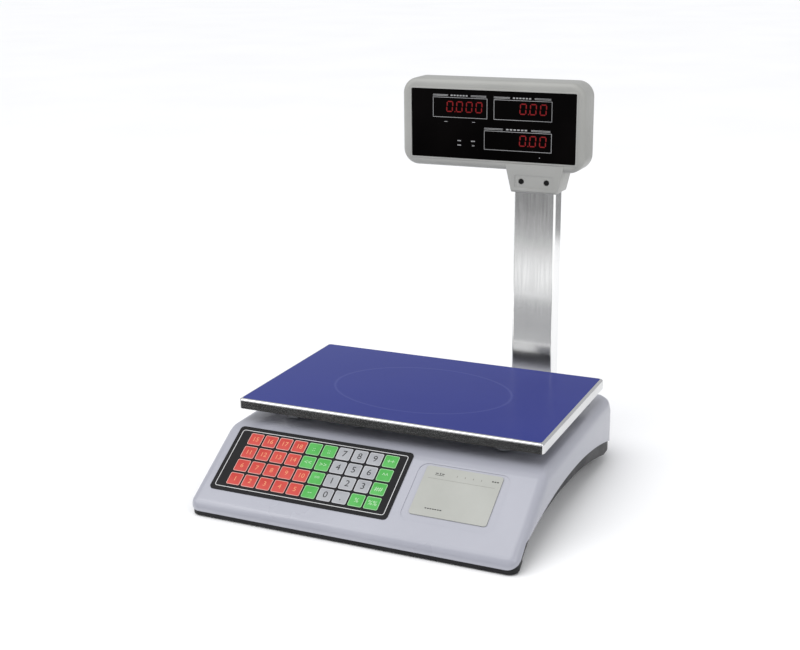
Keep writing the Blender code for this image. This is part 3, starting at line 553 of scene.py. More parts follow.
def housing_block(name, inset):
    """The housing as one rounded solid, drawn in by inset."""
    widest = 0.030
    obj = block(name, (-HALF_W + inset, FRONT + inset, 0.0), (HALF_W - inset, REAR - inset, TOP - inset))
    cut_plane(obj, SLOPE_POINT - SLOPE_NORMAL * inset, SLOPE_NORMAL)
    weights = obj.data.attributes.new("bevel_weight_edge", "FLOAT", "EDGE")
    for edge in obj.data.edges:
        radius = rim_radius(*(obj.data.vertices[k].co for k in edge.vertices))
        weights.data[edge.index].value = max(radius - inset, 0.002) / widest if radius else 0.0
    only(obj)
    rim = obj.modifiers.new("rim", "BEVEL")
    rim.limit_method = "WEIGHT"
    rim.width = widest
    rim.segments = 9
    rim.use_clamp_overlap = False
    bpy.ops.object.modifier_apply(modifier="rim")
    return obj


housing = housing_block("housing", 0.0)
shape(housing, seam_block("seam"))
recess = block("recess", (-0.0485, -0.035, -0.0005), (0.0485, 0.035, 0.010))
round_edges(recess, upright, 0.010, 6)
turn_onto_slope(recess, PLATE_X, PLATE_Y - 0.0023)
shape(housing, recess)
inside = housing_block("inside", WALL)
pick(inside, "VERT", lambda v: v.z < 0.001)
bpy.ops.transform.translate(value=(0, 0, -0.02))
done()
shape(housing, inside)
shape(housing, block("post_hole", (-0.023, 0.022, 0.05), (0.023, 0.068, 0.09)))
shape(housing, rod("level_hole", 0.0093, (LEVEL_X, LEVEL_Y, 0.05), 0.04))
finish_piece(housing, HOUSING, "base", ["upper_housing"], 28)

tray = base_block("tray", TRAY_LOW, 0.050, TRAY_INSET)
shape(tray, seam_block("seam", GAP), "INTERSECT")
inner = base_block("inner", TRAY_FLOOR + WALL, 0.060, TRAY_INSET + WALL)
# The grip is what lies under a second, flatter arch at each side.
grip_line = block("grip_line", (-0.25, GRIP_START, -0.02), (0.25, 0.15, GRIP_LINE))
grip = arch_block("grip", GRIP_MID, GRIP_TOP, GRIP_R)
cut_plane(grip, (0, GRIP_START, 0.0), (0, -1, 0))
cut_plane(grip, (0, 0.16, 0.0), (0, 1, 0))
cut_plane(grip, (0, GRIP_START, GRIP_LINE), (0, -0.53, 0.848))
cut_plane(grip, (0, 0, -0.02), (0, 0, -1))
shape(grip, grip_line, "UNION")
# Over each grip the tray keeps a wall, so the hollow stays clear of it.
grip_wall = copy_of(grip, "grip_wall", (0, 0, WALL))
wall_side = GRIP_SIDE - WALL
shape(grip_wall, block("middle", (-wall_side, -0.4, -0.1), (wall_side, 0.4, 0.1)))
shape(inner, grip_wall)
shape(tray, inner)
shape(grip, block("middle", (-GRIP_SIDE, -0.4, -0.1), (GRIP_SIDE, 0.4, 0.1)))
shape(tray, grip)
# The underside is lifted clear of the table behind a sloping lip at the front.
underside = block("underside", (-0.3, -0.1930, -0.02), (0.3, 0.3, TRAY_FLOOR))
for test, step in ((lambda v: v.y < 0 and v.z > 0, 0.012), (lambda v: v.y < 0 and v.z < 0, -0.0304)):
    pick(underside, "VERT", test)
    bpy.ops.transform.translate(value=(0, step, 0))
    done()
shape(tray, underside)
shape(tray, block("door_hole", (DOOR_X - 0.052, DOOR_Y - 0.037, 0.0), (DOOR_X + 0.052, DOOR_Y + 0.037, 0.02)))
shape(tray, block("inlet_hole", (SIDE_X - 0.01, INLET_Y - 0.0126, INLET_Z - 0.0091),
                  (SIDE_X + 0.01, INLET_Y + 0.0126, INLET_Z + 0.0091)))
shape(tray, block("switch_hole", (SIDE_X - 0.01, SWITCH_Y - 0.0096, SWITCH_Z - 0.0066),
                  (SIDE_X + 0.01, SWITCH_Y + 0.0096, SWITCH_Z + 0.0066)))
finish_piece(tray, TRAY, "base", ["lower_tray"], 28)

# ------------------------------------------------------------------ keypad
sheet = block("keypad_sheet", (-KEY_W / 2, -KEY_H / 2, 0.0001), (KEY_W / 2, KEY_H / 2, 0.0007))
round_edges(sheet, upright, 0.0045, 6)
soften(sheet, 0.0001, 1)
turn_onto_slope(sheet, KEY_X, KEY_Y)
finish_piece(sheet, SHEET, "base", ["keypad_overlay"])


def outline(name, width, height, line, corner, low, high):
    """A thin rounded frame."""
    outer = block(name, (-width / 2, -height / 2, low), (width / 2, height / 2, high))
    round_edges(outer, upright, corner, 6)
    half_x, half_y = width / 2 - line, height / 2 - line
    hole = block("hole", (-half_x, -half_y, low - 1), (half_x, half_y, high + 1))
    round_edges(hole, upright, max(corner - line, 0.0004), 6)
    return shape(outer, hole)


white_line = outline("keypad_line", KEY_W - 0.0090, KEY_H - 0.0090, 0.0007, 0.0030, 0.00065, 0.00075)
turn_onto_slope(white_line, KEY_X, KEY_Y)
finish_piece(white_line, WHITE_PRINT, "base", ["keypad_overlay"])

key_pad = block("key", (-0.00765, -0.0074, 0.0006), (0.00765, 0.0074, 0.00098))
round_edges(key_pad, upright, 0.0016, 5)
round_edges(key_pad, lambda a, b: a.z > 0.0009 and b.z > 0.0009, 0.00015, 2)
key_ring = outline("key_ring", 0.0153, 0.0148, 0.0006, 0.0016, 0.0008, 0.00102)


def glyph(name, words, size):
    """Raised printing in one plane, made a mesh."""
    bpy.ops.object.text_add(location=(0, 0, 0))
    obj = bpy.context.object
    obj.name = name
    obj.data.body = words
    obj.data.size = size
    obj.data.align_x = "CENTER"
    obj.data.align_y = "CENTER"
    obj.data.extrude = 0.00003
    obj.data.resolution_u = 3
    bpy.ops.object.convert(target="MESH")
    return bpy.context.object


# Rows from the front of the keypad to its back: R and G are red and green keys, + a green one with
# a sign of its own, and the rest are grey with the figure that stands here.
LAYOUT = ["RRRRRG0.+G", "RRRRRG123G", "RRRRGG456G", "RRRRGG789G"]
SIGNS = "+-=%*#<>^:;"
KEY_FIRST_X, KEY_FIRST_Y = 0.0240, 0.0160
KEY_PITCH_X, KEY_PITCH_Y = 0.01745, 0.01735
memory = count = 0
for row, line in enumerate(LAYOUT):
    for column, kind in enumerate(line):
        x = -KEY_W / 2 + KEY_FIRST_X + KEY_PITCH_X * column
        y = -KEY_H / 2 + KEY_FIRST_Y + KEY_PITCH_Y * row
        if kind == "R":
            memory += 1
            face, rim_colour, mark, words, size = RED_KEY, RED_EDGE, RED_MARK, str(memory), 0.0078
        elif kind in "G+":
            count += 1
            words = "%" if kind == "+" else SIGNS[count % len(SIGNS)] * 2
            face, rim_colour, mark, size = GREEN_KEY, GREEN_EDGE, GREEN_MARK, 0.0075
        else:
            face, rim_colour, mark, words, size = GREY_KEY, GREY_EDGE, BLACK_PRINT, kind, 0.0105
        label = f"{row + 1}_{column + 1}"
        pad = copy_of(key_pad, f"key_{label}", (x, y, 0))
        ring = copy_of(key_ring, f"key_rim_{label}", (x, y, 0))
        sign = glyph(f"key_sign_{label}", words, size)
        sign.location = (x, y, 0.00098)
        settle(sign)
        for obj, material in ((pad, face), (ring, rim_colour), (sign, mark)):
            turn_onto_slope(obj, KEY_X, KEY_Y)
            finish_piece(obj, material, "base", ["keypad_overlay"])
for spare in (key_pad, key_ring):
    bpy.data.objects.remove(spare, do_unlink=True)

# ------------------------------------------------------------------ rate plate
plate = block("plate", (-0.0405, -0.0295, -0.0004), (0.0405, 0.0295, 0.0006))
round_edges(plate, upright, 0.003, 5)
soften(plate, 0.0001, 1)
turn_onto_slope(plate, PLATE_X, PLATE_Y)
finish_piece(plate, PLATE, "base", ["rate_plate"])


def plate_mark(name, x, y, width, height, material):
    """A printed bar on the plate, placed from the plate's middle."""
    mark = block(name, (x - width / 2, y - height / 2, 0.0005), (x + width / 2, y + height / 2, 0.00066))
    turn_onto_slope(mark, PLATE_X, PLATE_Y)
    finish_piece(mark, material, "base", ["rate_plate"])


plate_mark("plate_rule", 0.0, 0.0150, 0.070, 0.0003, FAINT_PRINT)
plate_mark("plate_mark_0", -0.0275, 0.0215, 0.0030, 0.0008, BLACK_PRINT)
plate_mark("plate_mark_1", -0.0240, 0.0215, 0.0008, 0.0022, BLACK_PRINT)
plate_mark("plate_mark_2", -0.0212, 0.0215, 0.0030, 0.0008, BLACK_PRINT)
plate_mark("plate_mark_foot", -0.0244, 0.0196, 0.0095, 0.0005, BLACK_PRINT)
for k in range(4):
    plate_mark(f"plate_tick_{k}", -0.0060 + 0.0085 * k, 0.0212, 0.0008, 0.0020, FAINT_PRINT)
for k in range(3):
    plate_mark(f"plate_dash_{k}", 0.0310 + 0.0026 * k, 0.0222, 0.0018, 0.0012, BLACK_PRINT)
for k in range(7):
    plate_mark(f"plate_line_{k}", -0.0250 + 0.0026 * k, -0.0205, 0.0019, 0.0010, BLACK_PRINT)

# ------------------------------------------------------------------ pan and what carries it
pan = block("pan", (-PAN_HALF_W, -PAN_HALF_D, PAN_TOP - PAN_SKIRT), (PAN_HALF_W, PAN_HALF_D, PAN_TOP))
round_edges(pan, upright, 0.004, 5)
pick(pan, "FACE", lambda c, n: n.z < -0.5)
bpy.ops.mesh.delete(type="FACE")
done()
round_edges(pan, flat_ring(PAN_TOP), 0.0024, 6)
shell(pan, PAN_SHEET)
finish_piece(pan, STAINLESS, "pan", ["weighing_pan"])
level_shading(pan)
film_x, film_y = PAN_HALF_W - 0.003, PAN_HALF_D - 0.003
film = block("film", (-film_x, -film_y, PAN_TOP + 0.0001), (film_x, film_y, PAN_TOP + 0.0004))
round_edges(film, upright, 0.003, 4)
finish_piece(film, FILM, "pan", ["pan_film"])
film.visible_glossy = False

arms = []
for sign in (-1, 1):
    arm = block("arm", (-0.140, -0.009, 0.0740), (0.140, 0.009, 0.0796))
    arm.rotation_euler = (0, 0, sign * math.atan2(CUSHION_Y, CUSHION_X))
    settle(arm)
    arms.append(arm)
hub = block("load_frame_piece", (-0.024, -0.060, 0.0738), (0.024, 0.066, 0.0798))
round_edges(hub, upright, 0.006, 4)
for arm in arms:
    shape(hub, arm, "UNION")
for sx in (-1, 1):
    for sy in (-1, 1):
        tip = rod("tip", 0.0110, (sx * CUSHION_X, sy * CUSHION_Y, 0.0739), 0.0141, sides=32)
        shape(hub, tip, "UNION")
soften(hub, 0.0006, 2)
finish_piece(hub, CASTING, "pan_frame", ["load_frame"])
cushion = rod("cushion", 0.0095, (0, 0, 0.0883), 0.0072, sides=32)
soften(cushion, 0.0012, 3)
for k, (sx, sy) in enumerate(((-1, -1), (1, -1), (-1, 1), (1, 1)), 1):
    copy = copy_of(cushion, f"cushion_{k}", (sx * CUSHION_X, sy * CUSHION_Y, 0))
    finish_piece(copy, RUBBER, "pan_frame", [f"pan_cushion_{k}"])
bpy.data.objects.remove(cushion, do_unlink=True)
post = block("post", (-0.017, 0.028, 0.0407), (0.017, 0.062, 0.0735))
soften(post, 0.0008, 2)
finish_piece(post, CASTING, "pan_frame", ["load_post"])

level = rod("level", 0.0110, (LEVEL_X, LEVEL_Y, TOP + GAP), 0.0017, sides=40)
shape(level, rod("well", 0.0090, (LEVEL_X, LEVEL_Y, 0.0630), 0.0090, sides=40), "UNION")
shape(level, rod("well", 0.0075, (LEVEL_X, LEVEL_Y, 0.0660), 0.02, sides=40))
soften(level, 0.0003, 2)
finish_piece(level, TRAY, "base", ["level_body"])
bpy.ops.mesh.primitive_uv_sphere_add(segments=32, ring_count=16, radius=0.0072, location=(0, 0, 0))
vial = bpy.context.object
vial.name = "vial"
vial.scale = (1, 1, 0.38)
vial.location = (LEVEL_X, LEVEL_Y, TOP + GAP)
settle(vial)
finish_piece(vial, VIAL, "base", ["level_vial"], 60)

# ------------------------------------------------------------------ mast, socket and screws
def tube_block(name, grow, low, high):
    """The mast's own outline as a block, with its rounded corners."""
    obj = block(name, (MAST_X - MAST_HALF_W - grow, MAST_Y - MAST_HALF_D - grow, low),
                (MAST_X + MAST_HALF_W + grow, MAST_Y + MAST_HALF_D + grow, high))
    return round_edges(obj, upright, 0.003, 6)


mast = tube_block("mast_tube", 0.0, MAST_FOOT, MAST_TOP)
pick(mast, "FACE", lambda c, n: abs(n.z) > 0.9)
bpy.ops.mesh.delete(type="FACE")
done()
shell(mast, 0.0015)
finish_piece(mast, CHROME, "base", ["mast"])
level_shading(mast)
bracket = block("mast_bracket", (MAST_X - 0.029, REAR + GAP, 0.0125), (MAST_X + 0.029, 0.1815, 0.064))
round_edges(bracket, lambda a, b: upright(a, b) and a.y > 0.16, 0.007, 6)
shape(bracket, tube_block("slot_cut", GAP, MAST_FOOT - GAP, 0.1))
soften(bracket, 0.0010, 3)
finish_piece(bracket, HOUSING, "base", ["mast_socket"])


def screw(name, nodes, place, head_size, shank_size, facing, look=ZINC):
    """A round-headed screw with a cross recess; sizes are radius and length, facing is +Y, -Y or -Z."""
    radius, thick = head_size
    shank_radius, shank = shank_size
    head = rod(name, radius, (0, 0, 0), thick, sides=32)
    round_edges(head, flat_ring(thick), min(radius, thick) * 0.45, 3)
    long, short = radius * 0.62, radius * 0.13
    for half_x, half_y in ((long, short), (short, long)):
        shape(head, block("cross", (-half_x, -half_y, thick * 0.45), (half_x, half_y, thick * 2)))
    shape(head, rod("shank", shank_radius, (0, 0, -shank), shank + thick * 0.2, sides=20), "UNION")
    turn = {"-Z": 180, "+Y": -90, "-Y": 90}[facing]
    head.rotation_euler = (math.radians(turn), 0, 0)
    head.location = place
    settle(head)
    return finish_piece(head, look, "base", nodes)


for k, side in enumerate((-1, 1), 1):
    screw(f"bracket_screw_{k}", [f"socket_screw_{k}"], (MAST_X + side * 0.014, 0.1818, 0.042),
          (0.0038, 0.0021), (0.0018, 0.0525), "+Y")
for k, (x, y) in enumerate(((-0.105, -0.152), (0.105, -0.152), (-0.105, 0.112), (0.105, 0.112)), 1):
    screw(f"tray_screw_{k}", [f"case_screw_{k}"], (x, y, TRAY_FLOOR - GAP),
          (0.0034, 0.0021), (0.0013, 0.0150), "-Z")
for k, side in enumerate((-1, 1), 1):
    screw(f"door_screw_{k}", [f"battery_door_screw_{k}"], (DOOR_X + side * DOOR_SCREW_OUT, DOOR_Y, 0.0072),
          (0.0032, 0.0017), (0.0014, 0.0095), "-Z")
for k, y in enumerate((-0.050, -0.034), 1):
    screw(f"cell_screw_{k}", [f"cell_bolt_{k}"], (0, y, TRAY_FLOOR - GAP),
          (0.0050, 0.0045), (0.0029, 0.0210), "-Z")

# ------------------------------------------------------------------ underside
door = block("door", (DOOR_X - 0.064, DOOR_Y - 0.040, 0.0075),
             (DOOR_X + 0.064, DOOR_Y + 0.040, TRAY_FLOOR - GAP))
soften(door, 0.0006, 2)
for k in range(9):
    start = DOOR_Y - 0.028 + 0.007 * k
    shape(door, block("groove", (DOOR_X - 0.027, start, 0.0070), (DOOR_X + 0.027, start + 0.0022, 0.0081)))
for side in (-1, 1):
    shape(door, rod("screw_way", 0.0019, (DOOR_X + side * DOOR_SCREW_OUT, DOOR_Y, 0.0), 0.03, sides=24))
finish_piece(door, TRAY, "base", ["battery_door"])
FEET = ((1, -0.128, -0.166, "foot_front_left"), (2, 0.128, -0.166, "foot_front_right"),
        (3, -0.128, 0.112, "foot_rear_left"), (4, 0.128, 0.112, "foot_rear_right"))
foot = rod("foot", 0.0130, (0, 0, 0), 0.0080, sides=48)
round_edges(foot, flat_ring(0.0080), 0.0022, 4)
round_edges(foot, flat_ring(0.0), 0.0010, 2)
for k in range(3):
    ring = rod("ring", 0.0135, (0, 0, 0.0022 + 0.0013 * k), 0.0005, sides=48)
    shape(ring, rod("core", 0.0126, (0, 0, 0.0), 0.02, sides=48))
    shape(foot, ring)
shape(foot, rod("well", 0.0033, (0, 0, 0.003), 0.02, sides=24))
stud = rod("stud", 0.0030, (0, 0, 0.0033), 0.0257, sides=24)
shape(stud, rod("flange", 0.0085, (0, 0, 0.0083), 0.0014, sides=6), "UNION")
soften(stud, 0.0003, 1)
for k, x, y, body in FEET:
    rubber = copy_of(foot, f"foot_rubber_{k}", (x, y, 0))
    finish_piece(rubber, RUBBER, body, [f"foot_pad_{k}"])
    thread = copy_of(stud, f"foot_thread_{k}", (x, y, 0))
    finish_piece(thread, ZINC, body, [f"foot_stud_{k}"])
for spare in (foot, stud):
    bpy.data.objects.remove(spare, do_unlink=True)

# ------------------------------------------------------------------ power inlet and switch


def side_block(name, low_x, high_x, y, z, half_y, half_z):
    """A block in the right grip, placed by its middle and half sizes."""
    return block(name, (low_x, y - half_y, z - half_z), (high_x, y + half_y, z + half_z))


inlet = side_block("inlet", SIDE_X + GAP, SIDE_X + 0.0083, INLET_Y, INLET_Z, 0.016, 0.0108)
shape(inlet, side_block("back", 0.132, 0.152, INLET_Y, INLET_Z, 0.0123, 0.0088), "UNION")
soften(inlet, 0.0007, 2)
mouth = side_block("mouth", 0.1425, 0.17, INLET_Y, INLET_Z, 0.0105, 0.0070)
round_edges(mouth, lambda a, b: abs(a.y - b.y) < 1e-6 and abs(a.z - b.z) < 1e-6 and a.z > INLET_Z, 0.004, 3)
shape(inlet, mouth)
finish_piece(inlet, TRAY, "base", ["power_inlet"])
for k, (dy, dz) in enumerate(((-0.0065, -0.0015), (0.0, 0.0020), (0.0065, -0.0015))):
    pin = side_block(f"inlet_pin_{k}", 0.1415, 0.152, INLET_Y + dy, INLET_Z + dz, 0.001, 0.002)
    soften(pin, 0.0004, 2)
    finish_piece(pin, ZINC, "base", ["power_inlet"])
switch = side_block("switch", SIDE_X + GAP, SIDE_X + 0.0033, SWITCH_Y, SWITCH_Z, 0.0115, 0.0077)
shape(switch, side_block("back", 0.1357, 0.1507, SWITCH_Y, SWITCH_Z, 0.0093, 0.0063), "UNION")
soften(switch, 0.0006, 2)
shape(switch, side_block("mouth", 0.143, 0.17, SWITCH_Y, SWITCH_Z, 0.008, 0.005))
finish_piece(switch, TRAY, "base", ["switch_frame"])
rocker = block("rocker", (-0.0030, -0.0070, -0.0047), (0.0042, 0.0070, 0.0047))
shape(rocker, rod("dip", 0.0215, (0.0030 + 0.0213, 0, -0.01), 0.02, sides=96))
soften(rocker, 0.0003, 2)
rocker.rotation_euler = (0, 0, math.radians(-9))
rocker.location = (SIDE_X, SWITCH_Y, SWITCH_Z)
settle(rocker)
finish_piece(rocker, TRAY, "power_rocker", ["switch_rocker"])


# ------------------------------------------------------------------ display head
def facing_block(name, middle_x, middle_z, half_w, half_h, y_a, y_b):
    """A block between two depths, placed by its middle and half sizes in X and Z."""
    low, high = sorted((y_a, y_b))
    return block(name, (middle_x - half_w, low, middle_z - half_h),
                 (middle_x + half_w, high, middle_z + half_h))


def in_window(name, grow, y_a, y_b):
    """A block of the window's outline, made larger by grow."""
    return facing_block(name, WINDOW_X, WINDOW_Z, WINDOW_W / 2 + grow, WINDOW_H / 2 + grow, y_a, y_b)


def at_depth(y):
    """Edges that lie in one upright plane across the scale."""
    return lambda a, b: abs(a.y - y) < 1e-5 and abs(b.y - y) < 1e-5


def neck_half(neck_face, split_y):
    """Half of the tapered neck under the head."""
    low, high = sorted((neck_face, split_y))
    neck = block("neck", (MAST_X - NECK_HALF_W, low, NECK_BOTTOM),
                 (MAST_X + NECK_HALF_W, high, HEAD_BOTTOM + 0.008))
    pick(neck, "VERT", lambda v: v.z < NECK_BOTTOM + 0.001)
    bpy.ops.transform.resize(value=(NECK_TAPER, 1, 1), center_override=(MAST_X, 0, NECK_BOTTOM))
    done()
    round_edges(neck, lambda a, b: max(a.z, b.z) < NECK_BOTTOM + 0.001 and abs(a.x - b.x) < 1e-6, 0.0012, 3)
    on_face = at_depth(neck_face)
    round_edges(neck, lambda a, b: on_face(a, b) and min(a.z, b.z) < HEAD_BOTTOM + 0.007, 0.0020, 3)
    return neck


def head_inside(face_y, split_y, sign):
    """The hollow of one half, from behind its face to a little past the split."""
    inside = block("inside", (HEAD_LEFT + WALL, 0, HEAD_BOTTOM + WALL),
                   (HEAD_RIGHT - WALL, 1, HEAD_TOP - WALL))
    pick(inside, "VERT", lambda v: v.y > 0.5)
    bpy.ops.transform.translate(value=(0, face_y - sign * 0.0036 - 1, 0))
    done()
    pick(inside, "VERT", lambda v: v.y < 0.01)
    bpy.ops.transform.translate(value=(0, split_y - sign * 0.01, 0))
    done()
    return round_edges(inside, along_y, 0.0155, 8)


def head_half(name, face_y, split_y, sign, node, window):
    """One half of the head with its window; sign is the way its face looks along Y."""
    neck_face = NECK_FRONT if sign < 0 else NECK_REAR
    low, high = sorted((face_y, split_y))
    half = block(name, (HEAD_LEFT, low, HEAD_BOTTOM), (HEAD_RIGHT, high, HEAD_TOP))
    round_edges(half, along_y, 0.018, 10)
    round_edges(half, at_depth(face_y), 0.0065, 6)
    shape(half, neck_half(neck_face, split_y), "UNION")
    shape(half, head_inside(face_y, split_y, sign))
    shape(half, tube_block("hole", GAP, 0.28, MAST_TOP))
    if sign < 0:
        # The front window has a thin raised bead round it.
        bead = in_window("bead", 0.0021, face_y - 0.0005, face_y + 0.002)
        round_edges(bead, along_y, 0.003, 4)
        round_edges(bead, lambda a, b: max(a.y, b.y) < face_y, 0.0004, 3)
        shape(half, bead, "UNION")
    step = in_window("step", GAP, face_y - sign * 0.0025, face_y + sign)
    round_edges(step, along_y, 0.0015, 3)
    shape(half, step)
    shape(half, in_window("view", -0.003, face_y - 0.012, face_y + 0.012))
    if sign < 0:
        # The neck's front has a shallow panel with two countersunk screws.
        panel = facing_block("panel", MAST_X, NECK_BOTTOM + 0.01275, 0.0225, 0.00725,
                             neck_face - 0.01, neck_face + 0.0004)
        round_edges(panel, along_y, 0.0015, 3)
        shape(half, panel)
        for side in (-1, 1):
            x = MAST_X + side * NECK_SCREW_X
            shape(half, rod("sink", 0.0034, (x, 0.14, NECK_SCREW_Z), 0.0102, "Y", 32))
            shape(half, rod("way", 0.0018, (x, 0.14, NECK_SCREW_Z), 0.02, "Y", 20))
    finish_piece(half, HEAD, "base", [node], 30)
    pane = in_window(name + "_pane", 0.0, face_y - sign * 0.0022, face_y - sign * WINDOW_SET)
    round_edges(pane, along_y, 0.0012, 2)
    soften(pane, 0.0002, 1)
    finish_piece(pane, PANE, "base", [window])


head_half("head_front", HEAD_FRONT, HEAD_SPLIT - GAP / 2, -1, "head_front_shell", "display_front_window")
head_half("head_rear", HEAD_REAR, HEAD_SPLIT + GAP / 2, 1, "head_rear_shell", "display_rear_window")
for k, side in enumerate((-1, 1), 1):
    screw(f"neck_fixing_{k}", [f"neck_screw_{k}"], (MAST_X + side * NECK_SCREW_X, 0.1499, NECK_SCREW_Z),
          (0.0029, 0.0007), (0.0014, 0.0068), "-Y", DARK_STEEL)


# Printing and digits are modelled on a face that looks towards -Y and is one window wide.
def on_window(obj, word, material):
    """Put a flat piece, drawn in X and Z from the window's top left, on the front or rear window."""
    if word == "front":
        obj.location = (WINDOW_X - WINDOW_W / 2, HEAD_FRONT + WINDOW_SET, WINDOW_Z + WINDOW_H / 2)
    else:
        obj.rotation_euler = (0, 0, math.radians(180))
        obj.location = (WINDOW_X + WINDOW_W / 2, HEAD_REAR - WINDOW_SET, WINDOW_Z + WINDOW_H / 2)
    settle(obj)
    return finish_piece(obj, material, "base", [f"display_{word}_window"])


def flat(name, x, z, width, height):
    """A printed bar with its top left corner at x, z, both measured from the window's top left."""
    return block(name, (x, -0.00012, -z - height), (x + width, 0.00005, -z))


def frame_round(name, x, z, width, height):
    """A printed line round a readout."""
    line = 0.0005
    outer = flat(name, x, z, width, height)
    hole = block("hole", (x + line, -0.01, -z - height + line), (x + width - line, 0.01, -z - line))
    return shape(outer, hole)


def one_segment():
    """A bar with pointed ends, lying along X round the origin."""
    bar = block("segment", (-0.0030, -0.00018, -0.00062), (0.0030, 0.00005, 0.00062))
    pick(bar, "EDGE", lambda a, b: abs(a.x - b.x) < 1e-6 and abs(a.z - b.z) < 1e-6)
    bpy.ops.mesh.bevel(offset=0.0006, segments=1, affect="EDGES")
    done()
    return bar


def nought(x, z, name):
    """A leaning seven-segment nought with its top left corner at x, z: six bars, none in the middle."""
    left, middle, right = 0.0006, 0.0040, 0.0074
    top, upper, centre, lower, bottom = 0.0006, 0.0034, 0.0062, 0.0090, 0.0118
    lean_per_metre = 0.09
    bars = []
    for px, pz, on_end in ((middle, top, False), (right, upper, True), (right, lower, True),
                           (middle, bottom, False), (left, lower, True), (left, upper, True)):
        bar = one_segment()
        if on_end:
            bar.scale = (0.78, 1, 1)
            bar.rotation_euler = (0, math.radians(90), 0)
        bar.location = (x + px + (centre - pz) * lean_per_metre, 0, -z - pz)
        settle(bar)
        bars.append(bar)
    return merge(bars, name)


class Readout:
    """One framed readout; its places and sizes are shares of the window's width and height."""

    def __init__(self, name, left, top, width, height, figures_left, figures_top, figures):
        self.name = name
        self.x, self.z = left * WINDOW_W, top * WINDOW_H
        self.width, self.height = width * WINDOW_W, height * WINDOW_H
        self.figures_x, self.figures_z = figures_left * WINDOW_W, figures_top * WINDOW_H
        self.figures = figures


READOUTS = (
    Readout("weight", left=0.134, top=0.116, width=0.336, height=0.294,
            figures_left=0.219, figures_top=0.170, figures=4),
    Readout("price", left=0.510, top=0.120, width=0.348, height=0.290,
            figures_left=0.666, figures_top=0.163, figures=3),
    Readout("total", left=0.452, top=0.575, width=0.406, height=0.278,
            figures_left=0.666, figures_top=0.620, figures=3),
)
FIGURE_PITCH = 0.0118


def print_readout(readout, word):
    """The frame, the heading bars over it, the noughts and the decimal point."""
    name, x, wide = readout.name, readout.x, readout.width
    heading = readout.z - 0.0030
    on_window(frame_round(f"{name}_frame_{word}", x, readout.z, wide, readout.height), word, GREY_PRINT)
    for k, start in enumerate((0.0, 0.70)):
        for m in range(2):
            bar = flat(f"{name}_head_{word}_{k}_{m}", x + start * wide, heading + 0.0012 * m,
                       0.28 * wide, 0.0005)
            on_window(bar, word, GREY_PRINT)
    for k in range(6):
        bar = flat(f"{name}_legend_{word}_{k}", x + (0.33 + 0.055 * k) * wide, heading, 0.036 * wide, 0.0015)
        on_window(bar, word, GREY_PRINT)
    for k in range(readout.figures):
        figure = nought(readout.figures_x + FIGURE_PITCH * k, readout.figures_z, f"{name}_digit_{word}_{k}")
        on_window(figure, word, LIT)
    point = flat(f"{name}_point_{word}", readout.figures_x + FIGURE_PITCH - 0.0021,
                 readout.figures_z + 0.0112, 0.0012, 0.0012)
    on_window(point, word, LIT)


def small_print(word):
    """The small marks between the readouts, as plain bars."""
    for k, (u, v) in enumerate(((0.206, 0.468), (0.378, 0.462))):
        on_window(flat(f"mark_{word}_{k}", u * WINDOW_W, v * WINDOW_H, 0.0036, 0.0006), word, GREY_PRINT)
    for k, (u, v, width) in enumerate(((0.288, 0.735, 0.0045), (0.372, 0.735, 0.0050),
                                       (0.288, 0.800, 0.0045), (0.378, 0.800, 0.0032))):
        for m in range(3):
            bar = flat(f"small_{word}_{k}_{m}", u * WINDOW_W + m * width / 3, v * WINDOW_H,
                       width / 3 - 0.0004, 0.0013)
            on_window(bar, word, GREY_PRINT)
    on_window(flat(f"dot_{word}", 0.786 * WINDOW_W, 0.925 * WINDOW_H, 0.0010, 0.0008), word, GREY_PRINT)


for word in ("front", "rear"):
    for readout in READOUTS:
        print_readout(readout, word)
    small_print(word)


# ------------------------------------------------------------------ floor, lights and camera
def stage_plane(name, low, high, level, colour, shade, roughness):
    """A flat piece of the studio floor between two corners."""
    middle = ((low[0] + high[0]) / 2, (low[1] + high[1]) / 2, level)
    bpy.ops.mesh.primitive_plane_add(size=1.0, location=middle)
    obj = bpy.context.object
    obj.name = name
    obj.scale = (high[0] - low[0], high[1] - low[1], 1)
    settle(obj)
    obj.data.materials.append(plastic(name + "_surface", colour, shade, roughness, 0.05, 100.0, 2.0, 0.0))
    return obj


stage_plane("floor", (-30, -30), (30, 30), 0.0, (0.93, 0.93, 0.93), (0.95, 0.95, 0.95), 0.8)
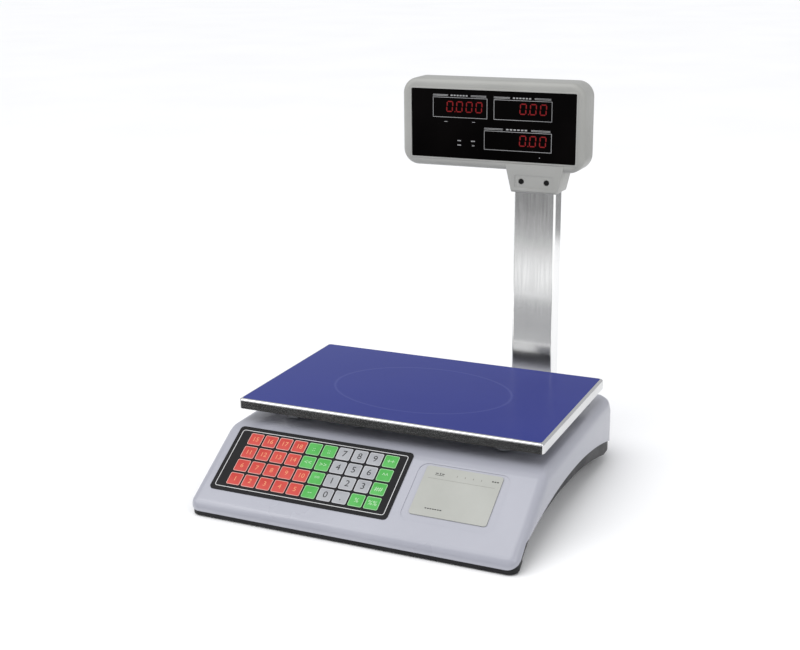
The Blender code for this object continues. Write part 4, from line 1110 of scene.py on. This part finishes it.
# Dark studio cards on the floor in front, seen only in the polished faces.
for name, low, high, shade in (("card_near", (-1.1, -0.43), (0.5, -0.22), 0.006),
                               ("card_middle", (-1.1, -1.00), (0.5, -0.70), 0.25),
                               ("card_far", (-1.5, -2.30), (0.5, -1.00), 0.06),
                               ("card_behind", (0.30, 1.15), (1.60, 2.80), 0.20)):
    card = stage_plane(name, low, high, 0.001, (shade,) * 3, (shade * 1.2,) * 3, 0.9)
    card.visible_camera = card.visible_diffuse = card.visible_shadow = False


def area_light(name, place, target, size, energy):
    bpy.ops.object.light_add(type="AREA", location=place)
    lamp = bpy.context.object
    lamp.name = name
    lamp.data.energy = energy
    lamp.data.size = size
    lamp.rotation_euler = (Vector(target) - Vector(place)).to_track_quat("-Z", "Y").to_euler()


area_light("key", (-1.5, -1.1, 1.1), (0, 0, 0.08), 1.2, 8)
area_light("fill", (1.6, -0.7, 1.1), (0, 0, 0.15), 1.2, 7)
bpy.ops.object.light_add(type="SUN", location=(0, 0, 3), rotation=(math.radians(20), math.radians(-15), 0))
sun = bpy.context.object
sun.name = "sky_panel"
sun.data.energy = 1.5
sun.data.angle = math.radians(60)
world = bpy.data.worlds.new("studio")
bpy.context.scene.world = world
world.use_nodes = True
world.node_tree.nodes["Background"].inputs["Color"].default_value = (0.96, 0.97, 1.0, 1)
world.node_tree.nodes["Background"].inputs["Strength"].default_value = 0.66

# The camera looks down at the scale from the front right.
yaw, pitch, roll = math.radians(24.477), math.radians(16.723), math.radians(-0.6725)
look = Vector((-math.sin(yaw) * math.cos(pitch), math.cos(yaw) * math.cos(pitch), -math.sin(pitch)))
right = Vector((math.cos(yaw), math.sin(yaw), 0))
up = right.cross(look)
right_r = math.cos(roll) * right + math.sin(roll) * up
up_r = -math.sin(roll) * right + math.cos(roll) * up
turn = Matrix((right_r, up_r, -look)).transposed()
bpy.ops.object.camera_add(location=(0.5360, -1.2391 + SHIFT, 0.5750), rotation=turn.to_euler())
camera = bpy.context.object
camera.data.sensor_width = 36.0
camera.data.lens = 58.98
camera.data.clip_start = 0.05
bpy.context.scene.camera = camera
bpy.context.scene.view_settings.view_transform = "Standard"
